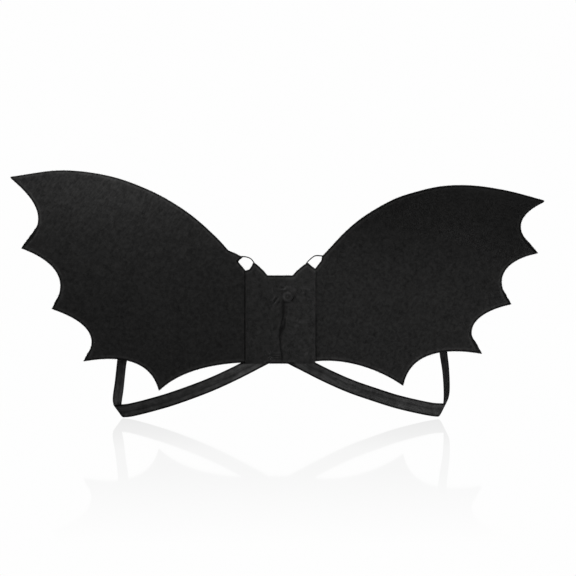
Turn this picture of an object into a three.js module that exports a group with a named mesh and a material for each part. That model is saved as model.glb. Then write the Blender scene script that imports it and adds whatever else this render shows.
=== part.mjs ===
// Felt bat wings for a costume, with two elastic shoulder loops.
// Millimetres, +Z up. The outer side faces -Y, the wearer's back is at +Y and the wearer's left at -X.
// The origin is the centre of the panel's back face.
import * as THREE from "three";

// Felt panel between the wings
const panelWidth = 104.5;
const panelHeight = 132.5; // bottom edge to the straight part of the top edge
const cornerRise = 20; // how far the two pulled-up corners stand above the top edge
const feltThickness = 2.5;
const creaseDepth = 1.3;
const creaseWidth = 3;
const puckerDepth = 1;
const puckerRadius = 5;
const cornerAcross = 0.775; // share of the half width

// Felt wings
const wingSpan = 360; // panel edge to the left tip
const wingHeight = 334; // lowest point to the highest of the leading edge
const seamAllowance = 12; // strip of each wing behind the panel
const layerGap = 0.3; // between layers that are sewn together
const tipBlunt = 1.5;
const hemBend = { from: 0.1, to: 0.9 }; // shares of wingSpan over which the hem starts to swing forward
const hemReach = 0.4; // share of wingHeight over which it swings by hemForward

// Elastic shoulder loops
const strapWidth = 19;
const strapThickness = 1.6;
const seamLength = 18; // sewn length at each end
const rampLength = 10; // from the sewn end up onto the wing's strip
const strapReach = 200; // panel edge out to the fold
const strapDrop = 82; // panel's bottom edge down to the loop's lowest edge
const strapDepth = 150; // how far the loop stands back from the panel
const turnStandOff = 1.35; // half widths from the panel to the middle of the band turned on edge

// Spacing of the faces
const panelRows = 16;
const panelMiddleColumns = 14;
const wingRows = 10;
const scallopColumns = 10;
const strapStep = 9;
const turnSteps = 5;

// Top edge of the panel: across as a share of the half width, rise as a share of cornerRise
const panelTopEdge = [
  { across: -1, rise: 0.36 },
  { across: -0.89, rise: 0.45 },
  { across: -0.82, rise: 0.72 },
  { across: -cornerAcross, rise: 1 },
  { across: -0.67, rise: 0.81 },
  { across: -0.47, rise: 0.32 },
  { across: -0.37, rise: 0 },
  { across: 0.35, rise: 0 },
  { across: 0.46, rise: 0.32 },
  { across: 0.67, rise: 0.78 },
  { across: 0.79, rise: 0.95 },
  { across: 0.865, rise: 0.76 },
  { across: 0.935, rise: 0.62 },
  { across: 1, rise: 0.51 },
];

// Wavering centre crease, top to bottom: up as a share of panelHeight, across of the half width
const creaseLine = [
  { up: 0.69, across: 0.075 },
  { up: 0.47, across: 0.1 },
  { up: 0.33, across: -0.01 },
  { up: 0.05, across: 0.075 },
];
const creaseFade = { from: 0.6, to: 0.75 }; // shares of panelHeight
const pucker = { across: 0.23, up: 0.75 };

// Wing outlines seen from the front. out is a share of wingSpan from the panel's edge, and up a share of
// wingHeight, from the panel's shoulder for the top edge and from its bottom edge for the points.
// Each point has the scallop that runs from it towards the panel, as the two handles of a curve: along and
// deep are shares of the straight distance to the next point. finger is where the fold line to the point
// starts on the leading edge.
const wings = {
  left: {
    side: -1,
    tipLean: 22, // degrees at the tip, backwards
    bendSlope: 14.5,
    hemForward: 3,
    notchEdge: [
      { out: 0.03, up: 0.042 },
      { out: 0.017, up: 0.06 },
      { out: 0.04, up: 0.075 },
    ],
    leadingEdge: [
      { out: 0.073, up: 0.09 },
      { out: 0.115, up: 0.14 },
      { out: 0.216, up: 0.239 },
      { out: 0.317, up: 0.313 },
      { out: 0.42, up: 0.37 },
      { out: 0.573, up: 0.428 },
      { out: 0.777, up: 0.456 },
      { out: 1, up: 0.427 },
    ],
    points: [
      { finger: 1, along1: 0.38, deep1: 0.31, along2: 0.72, deep2: 0.48 },
      { finger: 0.75, out: 0.938, up: 0.519, along1: 0.34, deep1: 0.31, along2: 0.74, deep2: 0.49 },
      { finger: 0.59, out: 0.807, up: 0.246, along1: 0.36, deep1: 0.3, along2: 0.8, deep2: 0.54 },
      { finger: 0.38, out: 0.675, up: 0.011, along1: 0.36, deep1: 0.22, along2: 0.76, deep2: 0.34 },
      { finger: 0.2, out: 0.361, up: -0.1215, along1: 0.28, deep1: 0.14, along2: 0.66, deep2: 0.1 },
      { finger: 0, out: 0, up: 0.006 },
    ],
  },
  right: {
    side: 1,
    tipLean: -57, // forwards
    bendSlope: 14.5,
    hemForward: 10,
    notchEdge: [
      { out: 0.027, up: 0.036 },
      { out: 0.029, up: 0.054 },
    ],
    leadingEdge: [
      { out: 0.044, up: 0.071 },
      { out: 0.069, up: 0.1 },
      { out: 0.117, up: 0.155 },
      { out: 0.172, up: 0.208 },
      { out: 0.242, up: 0.259 },
      { out: 0.33, up: 0.308 },
      { out: 0.4, up: 0.332 },
      { out: 0.505, up: 0.356 },
      { out: 0.623, up: 0.358 },
      { out: 0.765, up: 0.335 },
      { out: 0.924, up: 0.29 },
    ],
    points: [
      { finger: 1, along1: 0.24, deep1: 0.48, along2: 0.58, deep2: 0.57 },
      { finger: 0.74, out: 0.918, up: 0.495, along1: 0.3, deep1: 0.41, along2: 0.73, deep2: 0.57 },
      { finger: 0.62, out: 0.816, up: 0.267, along1: 0.3, deep1: 0.33, along2: 0.8, deep2: 0.66 },
      { finger: 0.42, out: 0.694, up: 0.045, along1: 0.32, deep1: 0.2, along2: 0.76, deep2: 0.37 },
      { finger: 0.23, out: 0.366, up: -0.0985, along1: 0.3, deep1: 0.11, along2: 0.7, deep2: 0.125 },
      { finger: 0, out: 0, up: 0.011 },
    ],
  },
};

// Routes of the shoulder loops from the panel's top corner to its bottom edge. out is a share of strapReach
// from the panel's edge, up of the height from the loop's lowest edge to the panel's corner, and back of
// strapDepth. across is the direction of the band's width, with x counted outwards.
const straps = {
  left: {
    side: -1,
    topEnd: { across: 0.17, up: 0.69 },
    bottomEnd: { across: 0.15, up: 0.126 },
    route: [
      { out: -0.043, up: 1.018, back: 0.098, across: [0, -1, 0] },
      { out: -0.024, up: 1.028, back: 0.098, across: [0, -1, 0] },
      { out: 0, up: 1.034, back: 0.1, across: [0, -1, 0] },
      { out: 0.036, up: 1.036, back: 0.105, across: [0, -1, 0] },
      { out: 0.16, up: 1.035, back: 0.17, across: [0.1, -0.98, 0.15] },
      { out: 0.39, up: 1, back: 0.39, across: [0.35, -0.86, 0.38] },
      { out: 0.64, up: 0.89, back: 0.68, across: [0.5, -0.68, 0.52] },
      { out: 0.86, up: 0.72, back: 0.91, across: [0.58, -0.56, 0.6] },
      { out: 0.965, up: 0.53, back: 1.01, across: [0.58, -0.52, 0.62] },
      { out: 0.99, up: 0.36, back: 0.98, across: [0.56, -0.52, 0.64] },
      { out: 0.994, up: 0.19, back: 0.68, across: [0.56, -0.5, 0.66] },
      { out: 0.993, up: 0.09, back: 0.46, across: [0.58, -0.3, 0.75] },
      { out: 0.984, up: 0.046, back: 0.365, across: [0.56, 0, 0.83] },
      { out: 0.972, up: 0.034, back: 0.317, across: [0.6, 0, 0.8] },
      { out: 0.938, up: 0.036, back: 0.293, across: [0.45, 0, 0.89] },
      { out: 0.88, up: 0.042, back: 0.285, across: [0.15, 0, 0.99] },
      { out: 0.625, up: 0.1, back: 0.22, across: [0.31, 0, 0.95] },
      { out: 0.44, up: 0.154, back: 0.173, across: [0.34, 0, 0.94] },
      { out: 0.255, up: 0.216, back: 0.127, across: [0.39, 0, 0.92] },
      { out: 0.075, up: 0.288, back: 0.067, across: [0.43, 0, 0.9] },
    ],
  },
  right: {
    side: 1,
    topEnd: { across: 0.23, up: 0.726 },
    bottomEnd: { across: 0.19, up: 0.09 },
    route: [
      { out: -0.041, up: 1.015, back: 0.098, across: [0, -1, 0] },
      { out: -0.03, up: 1.024, back: 0.098, across: [0, -1, 0] },
      { out: -0.007, up: 1.038, back: 0.1, across: [0, -1, 0] },
      { out: 0.012, up: 1.042, back: 0.1, across: [0, -1, 0] },
      { out: 0.052, up: 1.04, back: 0.11, across: [0, -1, 0] },
      { out: 0.18, up: 1.038, back: 0.18, across: [0.1, -0.98, 0.15] },
      { out: 0.4, up: 1, back: 0.4, across: [0.33, -0.86, 0.4] },
      { out: 0.66, up: 0.89, back: 0.7, across: [0.45, -0.7, 0.55] },
      { out: 0.88, up: 0.71, back: 0.9, across: [0.46, -0.56, 0.68] },
      { out: 0.995, up: 0.53, back: 0.96, across: [0.42, -0.54, 0.74] },
      { out: 1.017, up: 0.385, back: 0.9, across: [0.4, -0.52, 0.76] },
      { out: 1.025, up: 0.27, back: 0.75, across: [0.4, -0.52, 0.76] },
      { out: 1.015, up: 0.13, back: 0.5, across: [0.4, -0.48, 0.79] },
      { out: 1.001, up: 0.085, back: 0.41, across: [0.42, -0.24, 0.87] },
      { out: 0.98, up: 0.053, back: 0.34, across: [0.45, 0, 0.89] },
      { out: 0.967, up: 0.043, back: 0.3, across: [0.47, 0, 0.88] },
      { out: 0.935, up: 0.043, back: 0.28, across: [0.35, 0, 0.94] },
      { out: 0.88, up: 0.048, back: 0.27, across: [0.12, 0, 0.99] },
      { out: 0.63, up: 0.097, back: 0.213, across: [0.28, 0, 0.96] },
      { out: 0.444, up: 0.148, back: 0.167, across: [0.33, 0, 0.94] },
      { out: 0.264, up: 0.203, back: 0.113, across: [0.38, 0, 0.92] },
      { out: 0.084, up: 0.272, back: 0.06, across: [0.42, 0, 0.9] },
    ],
  },
};

// Sizes that follow
const halfPanel = panelWidth / 2;
const panelBottomZ = -panelHeight / 2;
const panelTopZ = panelHeight / 2;
const panelMidY = -feltThickness / 2;
const wingMidY = layerGap + feltThickness / 2;
const onPanelY = layerGap + strapThickness / 2;
const onWingY = 2 * layerGap + feltThickness + strapThickness / 2;
const loopLowZ = panelBottomZ - strapDrop;
const loopHeight = panelTopZ + cornerRise - loopLowZ;

const degrees = THREE.MathUtils.degToRad;
const mix = THREE.MathUtils.lerp;
const point = (x, y, z) => new THREE.Vector3(x, y, z);

function cloth(color, roughness) {
  return new THREE.MeshStandardMaterial({ color, roughness, metalness: 0 });
}

// A closed body with its faces turned outwards.
function solid(vertices, triangles) {
  const corner = (index) => vertices[index];
  const volume = triangles.reduce(
    (sum, [a, b, c]) => sum + corner(a).dot(new THREE.Vector3().crossVectors(corner(b), corner(c))),
    0,
  );
  const turned = volume < 0 ? triangles.map(([a, b, c]) => [a, c, b]) : triangles;
  const geometry = new THREE.BufferGeometry().setFromPoints(vertices);
  geometry.setIndex(turned.flat());
  geometry.computeVertexNormals();
  return geometry;
}

// Gives a grid of middle points, columns[i][j], a wall along its normals, pressed in at the front by dent.
function sheet(columns, thickness, dent = () => 0) {
  const last = columns.length - 1;
  const rows = columns[0].length;
  const at = (i, j) => columns[Math.min(Math.max(i, 0), last)][Math.min(Math.max(j, 0), rows - 1)];
  const faces = [[], []];
  for (let i = 0; i <= last; i += 1) {
    for (let j = 0; j < rows; j += 1) {
      const alongRow = at(i + 1, j).clone().sub(at(i - 1, j));
      const alongColumn = at(i, j + 1).clone().sub(at(i, j - 1));
      const normal = new THREE.Vector3().crossVectors(alongRow, alongColumn);
      normal.setLength((Math.sign(normal.y) * thickness) / 2);
      const pressed = point(0, dent(at(i, j)), 0);
      faces[0].push(at(i, j).clone().add(normal));
      faces[1].push(at(i, j).clone().sub(normal).add(pressed));
    }
  }
  const vertices = faces.flat();
  const index = (side, i, j) => side * faces[0].length + i * rows + j;
  const triangles = [];
  const quad = (a, b, c, d) => triangles.push([a, b, c], [a, c, d]);
  for (let i = 0; i < last; i += 1) {
    for (let j = 0; j < rows - 1; j += 1) {
      quad(index(0, i, j), index(0, i + 1, j), index(0, i + 1, j + 1), index(0, i, j + 1));
      quad(index(1, i, j), index(1, i, j + 1), index(1, i + 1, j + 1), index(1, i + 1, j));
    }
    quad(index(0, i, 0), index(1, i, 0), index(1, i + 1, 0), index(0, i + 1, 0));
    const end = rows - 1;
    quad(index(0, i, end), index(0, i + 1, end), index(1, i + 1, end), index(1, i, end));
  }
  for (let j = 0; j < rows - 1; j += 1) {
    quad(index(0, 0, j), index(0, 0, j + 1), index(1, 0, j + 1), index(1, 0, j));
    quad(index(0, last, j), index(1, last, j), index(1, last, j + 1), index(0, last, j + 1));
  }
  return solid(vertices, triangles);
}

// Straight-line lookup in a table whose rows run along the key.
function readTable(table, key, value, where) {
  const ordered = [...table].sort((a, b) => a[key] - b[key]);
  const above = ordered.findIndex((row) => row[key] >= where);
  if (above === 0) return ordered[0][value];
  if (above < 0) return ordered[ordered.length - 1][value];
  const [low, high] = [ordered[above - 1], ordered[above]];
  return mix(low[value], high[value], (where - low[key]) / (high[key] - low[key]));
}

function panelEdgeZ(across) {
  return panelTopZ + cornerRise * readTable(panelTopEdge, "across", "rise", across);
}

const shoulderZ = (side) => panelEdgeZ(side);

// Creased and puckered on the outer side; the back, where the straps are sewn, stays flat.
function panelDent({ x, z }) {
  const up = (z - panelBottomZ) / panelHeight;
  const fromCrease = (x - halfPanel * readTable(creaseLine, "up", "across", up)) / creaseWidth;
  const fade = 1 - THREE.MathUtils.smoothstep(up, creaseFade.from, creaseFade.to);
  const fromPucker = Math.hypot(x - pucker.across * halfPanel, z - panelBottomZ - pucker.up * panelHeight);
  const crease = creaseDepth * fade * Math.exp(-fromCrease * fromCrease);
  return crease + puckerDepth * Math.exp(-((fromPucker / puckerRadius) ** 2));
}

function backPanel() {
  const edges = panelTopEdge.map((row) => row.across);
  const [flatFrom, flatTo] = panelTopEdge.filter((row) => row.rise === 0).map((row) => row.across);
  const middle = Array.from({ length: panelMiddleColumns - 1 }, (_, i) =>
    mix(flatFrom, flatTo, (i + 1) / panelMiddleColumns),
  );
  const places = [...edges, ...middle].sort((a, b) => a - b);
  const columns = places.map((across) =>
    Array.from({ length: panelRows + 1 }, (_, j) => {
      const z = mix(panelEdgeZ(across), panelBottomZ, j / panelRows);
      return point(across * halfPanel, panelMidY, z);
    }),
  );
  return sheet(columns, feltThickness, panelDent);
}

// Middle surface of a wing: flat at the root, rolled about a slanted line from the root's top outwards.
function wingDepth(wing, tip) {
  const slope = degrees(wing.bendSlope);
  const above = (x, z) =>
    (Math.abs(x) - halfPanel) * Math.sin(slope) + (z - shoulderZ(wing.side)) * Math.cos(slope);
  const lean = degrees(Math.abs(wing.tipLean));
  const radius = above(tip.x, tip.z) / Math.sin(lean);
  const direction = Math.sign(wing.tipLean);
  return (x, z) => {
    const height = above(x, z);
    if (height > 0) return wingMidY + direction * (radius - Math.sqrt(radius * radius - height * height));
    const out = (Math.abs(x) - halfPanel) / wingSpan;
    const outward = THREE.MathUtils.smoothstep(out, hemBend.from, hemBend.to);
    return wingMidY - wing.hemForward * outward * (height / (hemReach * wingHeight)) ** 2;
  };
}

function leadingEdge(wing) {
  const place = ({ out, up }) =>
    point(wing.side * (halfPanel + out * wingSpan), 0, shoulderZ(wing.side) + up * wingHeight);
  const path = new THREE.CurvePath();
  const straight = [point(wing.side * halfPanel, 0, shoulderZ(wing.side)), ...wing.notchEdge.map(place)];
  const curved = wing.leadingEdge.map(place);
  const knots = [...straight, curved[0]];
  for (let i = 0; i < knots.length - 1; i += 1) path.add(new THREE.LineCurve3(knots[i], knots[i + 1]));
  path.add(new THREE.CatmullRomCurve3(curved, false, "centripetal"));
  return path;
}

// Scallop curves from the tip to the root.
function trailingEdge(wing, tip) {
  const corners = wing.points.map(({ out, up }, i) =>
    i === 0 ? tip : point(wing.side * (halfPanel + out * wingSpan), 0, panelBottomZ + up * wingHeight),
  );
  return corners.slice(0, -1).map((start, i) => {
    const end = corners[i + 1];
    const chord = end.clone().sub(start);
    const inward = point(chord.z, 0, -chord.x).multiplyScalar(wing.side);
    const handle = (along, deep) =>
      start.clone().addScaledVector(chord, along).addScaledVector(inward, deep);
    const { along1, deep1, along2, deep2 } = wing.points[i];
    return new THREE.CubicBezierCurve3(start, handle(along1, deep1), handle(along2, deep2), end);
  });
}

function wingSheet(wing) {
  const lead = leadingEdge(wing);
  const tip = lead.getPoint(1);
  const scallops = trailingEdge(wing, tip);
  const depth = wingDepth(wing, tip);
  const tabX = wing.side * (halfPanel - seamAllowance);
  const lines = [[point(tabX, 0, lead.getPoint(0).z), point(tabX, 0, scallops.at(-1).getPoint(1).z)]];
  for (let i = scallops.length - 1; i >= 0; i -= 1) {
    const [from, to] = [wing.points[i + 1].finger, wing.points[i].finger];
    const blunt = i === 0 ? tipBlunt / scallops[0].getLength() : 0;
    for (let k = i === scallops.length - 1 ? 0 : 1; k <= scallopColumns; k += 1) {
      const share = Math.min(k / scallopColumns, 1 - blunt);
      lines.push([lead.getPointAt(mix(from, to, share)), scallops[i].getPointAt(1 - share)]);
    }
  }
  const columns = lines.map(([top, bottom]) =>
    Array.from({ length: wingRows + 1 }, (_, j) => {
      const { x, z } = top.clone().lerp(bottom, j / wingRows);
      return point(x, depth(x, z), z);
    }),
  );
  return sheet(columns, feltThickness);
}

function bandEnd(side, { across, up }) {
  return point(side * across * halfPanel, onPanelY, panelBottomZ + up * panelHeight);
}

// Sewn flat on the panel's back, then turned on edge by the time it reaches the panel's top corner.
function topStations({ side, topEnd }) {
  const end = bandEnd(side, topEnd);
  const corner = point(side * cornerAcross * halfPanel, onPanelY, panelTopZ + cornerRise);
  const along = corner.clone().sub(end);
  const length = along.length();
  along.normalize();
  const flat = new THREE.Vector3().crossVectors(along, point(0, 1, 0)).multiplyScalar(-side);
  const standOff = (turnStandOff * strapWidth) / 2;
  const twisted = Array.from({ length: turnSteps + 1 }, (_, i) => {
    const turn = (Math.PI / 2) * THREE.MathUtils.smoothstep(i / turnSteps, 0, 1);
    const at = end.clone().addScaledVector(along, mix(seamLength, length, i / turnSteps));
    at.y += standOff * Math.sin(turn);
    const across = flat.clone().multiplyScalar(Math.cos(turn)).add(point(0, -Math.sin(turn), 0));
    return { at, across };
  });
  const midSeam = end.clone().addScaledVector(along, seamLength / 2);
  return [{ at: end, across: flat }, { at: midSeam, across: flat }, ...twisted];
}

function routeStations({ side, route }) {
  return route.map(({ out, up, back, across: [x, y, z] }) => ({
    at: point(side * (halfPanel + out * strapReach), back * strapDepth, loopLowZ + up * loopHeight),
    across: point(side * x, y, z),
  }));
}

// Over the wing's root strip, down to the panel's back and sewn flat there.
function bottomStations({ side, bottomEnd }, from) {
  const end = bandEnd(side, bottomEnd);
  const along = from.clone().sub(end).setY(0).normalize();
  const across = point(-along.z, 0, along.x).multiplyScalar(side);
  const seam = end.clone().addScaledVector(along, seamLength);
  const midSeam = end.clone().addScaledVector(along, seamLength / 2);
  const overWing = seam.clone().addScaledVector(along, rampLength).setY(onWingY);
  return [overWing, seam, midSeam, end].map((at) => ({ at, across }));
}

function strapBand(strap) {
  const route = routeStations(strap);
  const stations = [...topStations(strap), ...route, ...bottomStations(strap, route.at(-1).at)];
  const middle = new THREE.CatmullRomCurve3(stations.map(({ at }) => at), false, "centripetal");
  const sections = [];
  for (let i = 0; i < stations.length - 1; i += 1) {
    const steps = Math.max(2, Math.round(stations[i].at.distanceTo(stations[i + 1].at) / strapStep));
    for (let k = i === 0 ? 0 : 1; k <= steps; k += 1) {
      const where = (i + k / steps) / (stations.length - 1);
      const along = middle.getTangent(where);
      const across = stations[i].across.clone().lerp(stations[i + 1].across, k / steps).normalize();
      const normal = new THREE.Vector3().crossVectors(along, across);
      const half = across.multiplyScalar(strapWidth / 2 / normal.length());
      const thick = normal.setLength(strapThickness / 2);
      const at = middle.getPoint(where);
      sections.push([
        at.clone().add(half).add(thick),
        at.clone().sub(half).add(thick),
        at.clone().sub(half).sub(thick),
        at.clone().add(half).sub(thick),
      ]);
    }
  }
  return bandSolid(sections);
}

function bandSolid(sections) {
  const triangles = [];
  const last = 4 * (sections.length - 1);
  for (let first = 0; first < last; first += 4) {
    for (let k = 0; k < 4; k += 1) {
      const [here, next] = [first + k, first + ((k + 1) % 4)];
      triangles.push([here, next, next + 4], [here, next + 4, here + 4]);
    }
  }
  triangles.push([0, 2, 1], [0, 3, 2], [last, last + 1, last + 2], [last, last + 2, last + 3]);
  return solid(sections.flat(), triangles);
}

function piece(name, geometry, material) {
  const mesh = new THREE.Mesh(geometry, material);
  mesh.name = name;
  return mesh;
}

const batWings = new THREE.Group();
batWings.add(
  piece("back_panel", backPanel(), cloth(0x1b1b1c, 0.95)),
  piece("wing_left", wingSheet(wings.left), cloth(0x1a1a1b, 0.95)),
  piece("wing_right", wingSheet(wings.right), cloth(0x1a1a1b, 0.95)),
  piece("strap_left", strapBand(straps.left), cloth(0x232324, 0.7)),
  piece("strap_right", strapBand(straps.right), cloth(0x232324, 0.7)),
);

export default batWings;
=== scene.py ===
# Black felt bat wings with elastic shoulder loops, seen from behind the wearer.
# Lengths in the dictionaries are millimetres, and the scene is in metres.
import math

import bpy
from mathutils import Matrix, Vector, kdtree, noise


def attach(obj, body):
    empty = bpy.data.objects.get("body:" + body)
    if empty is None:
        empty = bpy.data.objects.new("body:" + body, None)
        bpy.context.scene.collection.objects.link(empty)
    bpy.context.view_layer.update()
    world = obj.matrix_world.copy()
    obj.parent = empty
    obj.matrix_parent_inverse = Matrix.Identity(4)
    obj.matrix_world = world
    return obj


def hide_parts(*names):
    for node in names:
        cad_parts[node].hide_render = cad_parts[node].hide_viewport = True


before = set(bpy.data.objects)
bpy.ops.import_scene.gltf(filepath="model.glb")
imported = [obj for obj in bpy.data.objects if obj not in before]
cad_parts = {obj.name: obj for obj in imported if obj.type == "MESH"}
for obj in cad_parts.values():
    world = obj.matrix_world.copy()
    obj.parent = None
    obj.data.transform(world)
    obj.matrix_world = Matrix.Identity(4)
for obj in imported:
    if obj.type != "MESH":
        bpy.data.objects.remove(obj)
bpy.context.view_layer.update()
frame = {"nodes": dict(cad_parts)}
mm = 0.001
print("packed frame loaded:", ", ".join(frame["nodes"]))


# Studio

studio = {
    "cameraPlace": (11.4, -3000.0, 47.25),  # level, straight on
    "lens": 125.0,
    "sensorWidth": 36.0,
    "clipEnd": 60.0,  # metres
    "floorHeight": -150.6,
    "floorReach": 9.0,  # metres
    "floorTone": 0.99,
    "mirrorRoughness": 0.035,
    "skyForCamera": 0.99,
    "skyForCloth": 0.09,
    "skyEdge": (0.9, 0.96),  # the backdrop's rim, from the dim sky to the bright middle
    "floorForCloth": 0.03,
    # share of the floor that mirrors, by metres in front of the panel
    "mirror": [(0.0, 0.16), (0.3, 0.12), (0.55, 0.075), (0.85, 0.062), (1.1, 0.036), (1.45, 0.0)],
}

softboxes = [
    # name, place and aim in metres, width, depth, spread in degrees, power in watts
    ("overheadBox", (0.1, -0.9, 2.4), (0.0, 0.0, 0.0), 2.2, 1.2, 180.0, 2.0),
    ("leftWingBox", (-0.25, -0.26, 0.7), (-0.22, 0.0, 0.2), 0.3, 0.15, 120.0, 1.05),
    ("rightFrontBox", (1.5, -3.0, 0.5), (0.0, 0.0, 0.0), 1.6, 1.6, 180.0, 6.0),
    ("rightLowBox", (0.95, -1.1, -0.08), (0.15, 0.0, 0.0), 0.6, 0.4, 120.0, 4.6),
    ("backBox", (-0.4, 3.2, 1.6), (0.0, 0.0, 0.0), 2.0, 1.6, 180.0, 20.0),
]


def setUpCamera():
    cameraData = bpy.data.cameras.new("camera")
    cameraData.lens = studio["lens"]
    cameraData.sensor_width = studio["sensorWidth"]
    cameraData.clip_end = studio["clipEnd"]
    camera = bpy.data.objects.new("camera", cameraData)
    camera.location = Vector(studio["cameraPlace"]) * mm
    camera.rotation_euler = (math.radians(90.0), 0.0, 0.0)
    bpy.context.scene.collection.objects.link(camera)
    bpy.context.scene.camera = camera
    bpy.context.scene.view_settings.view_transform = "Standard"


def addSoftbox(name, place, aim, width, depth, spreadAngle, power):
    lightData = bpy.data.lights.new(name, "AREA")
    lightData.shape = "RECTANGLE"
    lightData.size, lightData.size_y = width, depth
    lightData.spread = math.radians(spreadAngle)
    lightData.energy = power
    box = bpy.data.objects.new(name, lightData)
    box.location = place
    box.rotation_euler = (Vector(aim) - Vector(place)).to_track_quat("-Z", "Y").to_euler()
    box.visible_glossy = False  # leaves no white patch on the floor
    bpy.context.scene.collection.objects.link(box)


# Node helpers, for shaders and Geometry Nodes alike


def put(tree, kind, inputs=None, **settings):
    node = tree.nodes.new(kind)
    for key, value in settings.items():
        setattr(node, key, value)
    for key, value in (inputs or {}).items():
        if isinstance(value, bpy.types.NodeSocket):
            tree.links.new(value, node.inputs[key])
        else:
            node.inputs[key].default_value = value
    return node


def firstOut(tree, kind, inputs=None, **settings):
    return put(tree, kind, inputs, **settings).outputs[0]


def sums(tree, operation, first, second=0.0, third=0.0):
    return firstOut(tree, "ShaderNodeMath", {0: first, 1: second, 2: third}, operation=operation)


def times(tree, first, second):
    return sums(tree, "MULTIPLY", first, second)


def plus(tree, first, second):
    return sums(tree, "ADD", first, second)


def noiseTone(tree, place, scale, detail, roughness=0.5, distortion=0.0):
    inputs = {"Vector": place, "Scale": scale, "Detail": detail, "Roughness": roughness}
    return put(tree, "ShaderNodeTexNoise", {**inputs, "Distortion": distortion}).outputs["Fac"]


def ownPlace(tree):
    return put(tree, "ShaderNodeTexCoord").outputs["Object"]


def attributeTone(tree, name):
    return put(tree, "ShaderNodeAttribute", attribute_name=name).outputs["Fac"]


def seenByCamera(tree):
    return put(tree, "ShaderNodeLightPath").outputs["Is Camera Ray"]


def addRelief(tree, shader, height, strength, depth):
    inputs = {"Height": height, "Strength": strength, "Distance": depth * mm}
    tree.links.new(firstOut(tree, "ShaderNodeBump", inputs), shader.inputs["Normal"])


def spread(tree, value, fromLow, fromHigh, toLow, toHigh, **settings):
    inputs = {"Value": value, "From Min": fromLow, "From Max": fromHigh, "To Min": toLow, "To Max": toHigh}
    return firstOut(tree, "ShaderNodeMapRange", inputs, **settings)


def blendColours(tree, factor, first, second):
    node = put(tree, "ShaderNodeMix", {0: factor, 6: first, 7: second}, data_type="RGBA")
    return node.outputs[2]


def grey(value, warmth=0.0):
    return (value * (1 + warmth), value, value * (1 - warmth), 1.0)


def toneAlong(tree, value, table):
    # A grey ramp through the table's rows, over values from nothing to the last row's
    furthest = table[-1][0]
    ramp = put(tree, "ShaderNodeValToRGB", {0: sums(tree, "DIVIDE", value, furthest)})
    stops = ramp.color_ramp.elements
    for i, (where, tone) in enumerate(table):
        stop = stops[i] if i < 2 else stops.new(where / furthest)
        stop.position = where / furthest
        stop.color = grey(tone)
    return ramp.outputs["Color"]


def darken(tree, colour, tone):
    return firstOut(tree, "ShaderNodeVectorMath", {0: colour, 1: tone}, operation="MULTIPLY")


def makeWorld():
    world = bpy.data.worlds.new("paleStudio")
    world.use_nodes = True
    tree = world.node_tree
    background = tree.nodes["Background"]
    background.inputs["Color"].default_value = (1.0, 1.0, 1.0, 1.0)
    # The backdrop behind the piece is as bright for the floor's mirror as for the camera
    directions = put(tree, "ShaderNodeTexCoord").outputs["Generated"]
    towards = put(tree, "ShaderNodeSeparateXYZ", {0: directions}).outputs["Y"]
    dim, bright = studio["skyForCloth"], studio["skyForCamera"]
    sky = spread(tree, towards, *studio["skyEdge"], dim, bright, interpolation_type="SMOOTHSTEP")
    inputs = {0: seenByCamera(tree), 2: sky, 3: bright}
    strength = firstOut(tree, "ShaderNodeMix", inputs, data_type="FLOAT")
    tree.links.new(strength, background.inputs["Strength"])
    bpy.context.scene.world = world


def makeFloor():
    reach = studio["floorReach"]
    floorMesh = bpy.data.meshes.new("paleFloor")
    corners = [(-reach, -reach), (reach, -reach), (reach, reach), (-reach, reach)]
    floorMesh.from_pydata([(x, y, studio["floorHeight"] * mm) for x, y in corners], [], [(0, 1, 2, 3)])
    floor = bpy.data.objects.new("paleFloor", floorMesh)
    bpy.context.scene.collection.objects.link(floor)
    material = bpy.data.materials.new("paleGloss")
    material.use_nodes = True
    tree = material.node_tree
    tree.nodes.clear()
    parts = put(tree, "ShaderNodeSeparateXYZ", {0: ownPlace(tree)}).outputs
    gloss = toneAlong(tree, times(tree, parts["Y"], -1.0), studio["mirror"])
    glow = spread(tree, seenByCamera(tree), 0.0, 1.0, studio["floorForCloth"], 1.0)
    matt = firstOut(tree, "ShaderNodeEmission", {"Color": grey(studio["floorTone"]), "Strength": glow})
    inputs = {"Color": grey(1.0), "Roughness": studio["mirrorRoughness"]}
    mirror = firstOut(tree, "ShaderNodeBsdfGlossy", inputs)
    both = firstOut(tree, "ShaderNodeMixShader", {0: gloss, 1: matt, 2: mirror})
    put(tree, "ShaderNodeOutputMaterial", {"Surface": both})
    floorMesh.materials.append(material)


setUpCamera()
for softbox in softboxes:
    addSoftbox(*softbox)
makeWorld()
makeFloor()
print("studio ready")


# Shader groups that several finishes share


def newShaderGroup(name, inputs, outputs):
    tree = bpy.data.node_groups.new(name, "ShaderNodeTree")
    for label, value in inputs:
        kind = "NodeSocketVector" if value is None else "NodeSocketFloat"
        socket = tree.interface.new_socket(label, in_out="INPUT", socket_type=kind)
        if value is not None:
            socket.default_value = value
    for label in outputs:
        tree.interface.new_socket(label, in_out="OUTPUT", socket_type="NodeSocketFloat")
    return tree, tree.nodes.new("NodeGroupInput").outputs, tree.nodes.new("NodeGroupOutput")


def stretchedNoise(tree, place, turn, stretch, scale, detail=3.0):
    inputs = {"Vector": place, "Rotation": turn, "Scale": (stretch, 1.0, 1.0)}
    turned = firstOut(tree, "ShaderNodeMapping", inputs, vector_type="TEXTURE")
    return noiseTone(tree, turned, scale, detail, 0.6)


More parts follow.
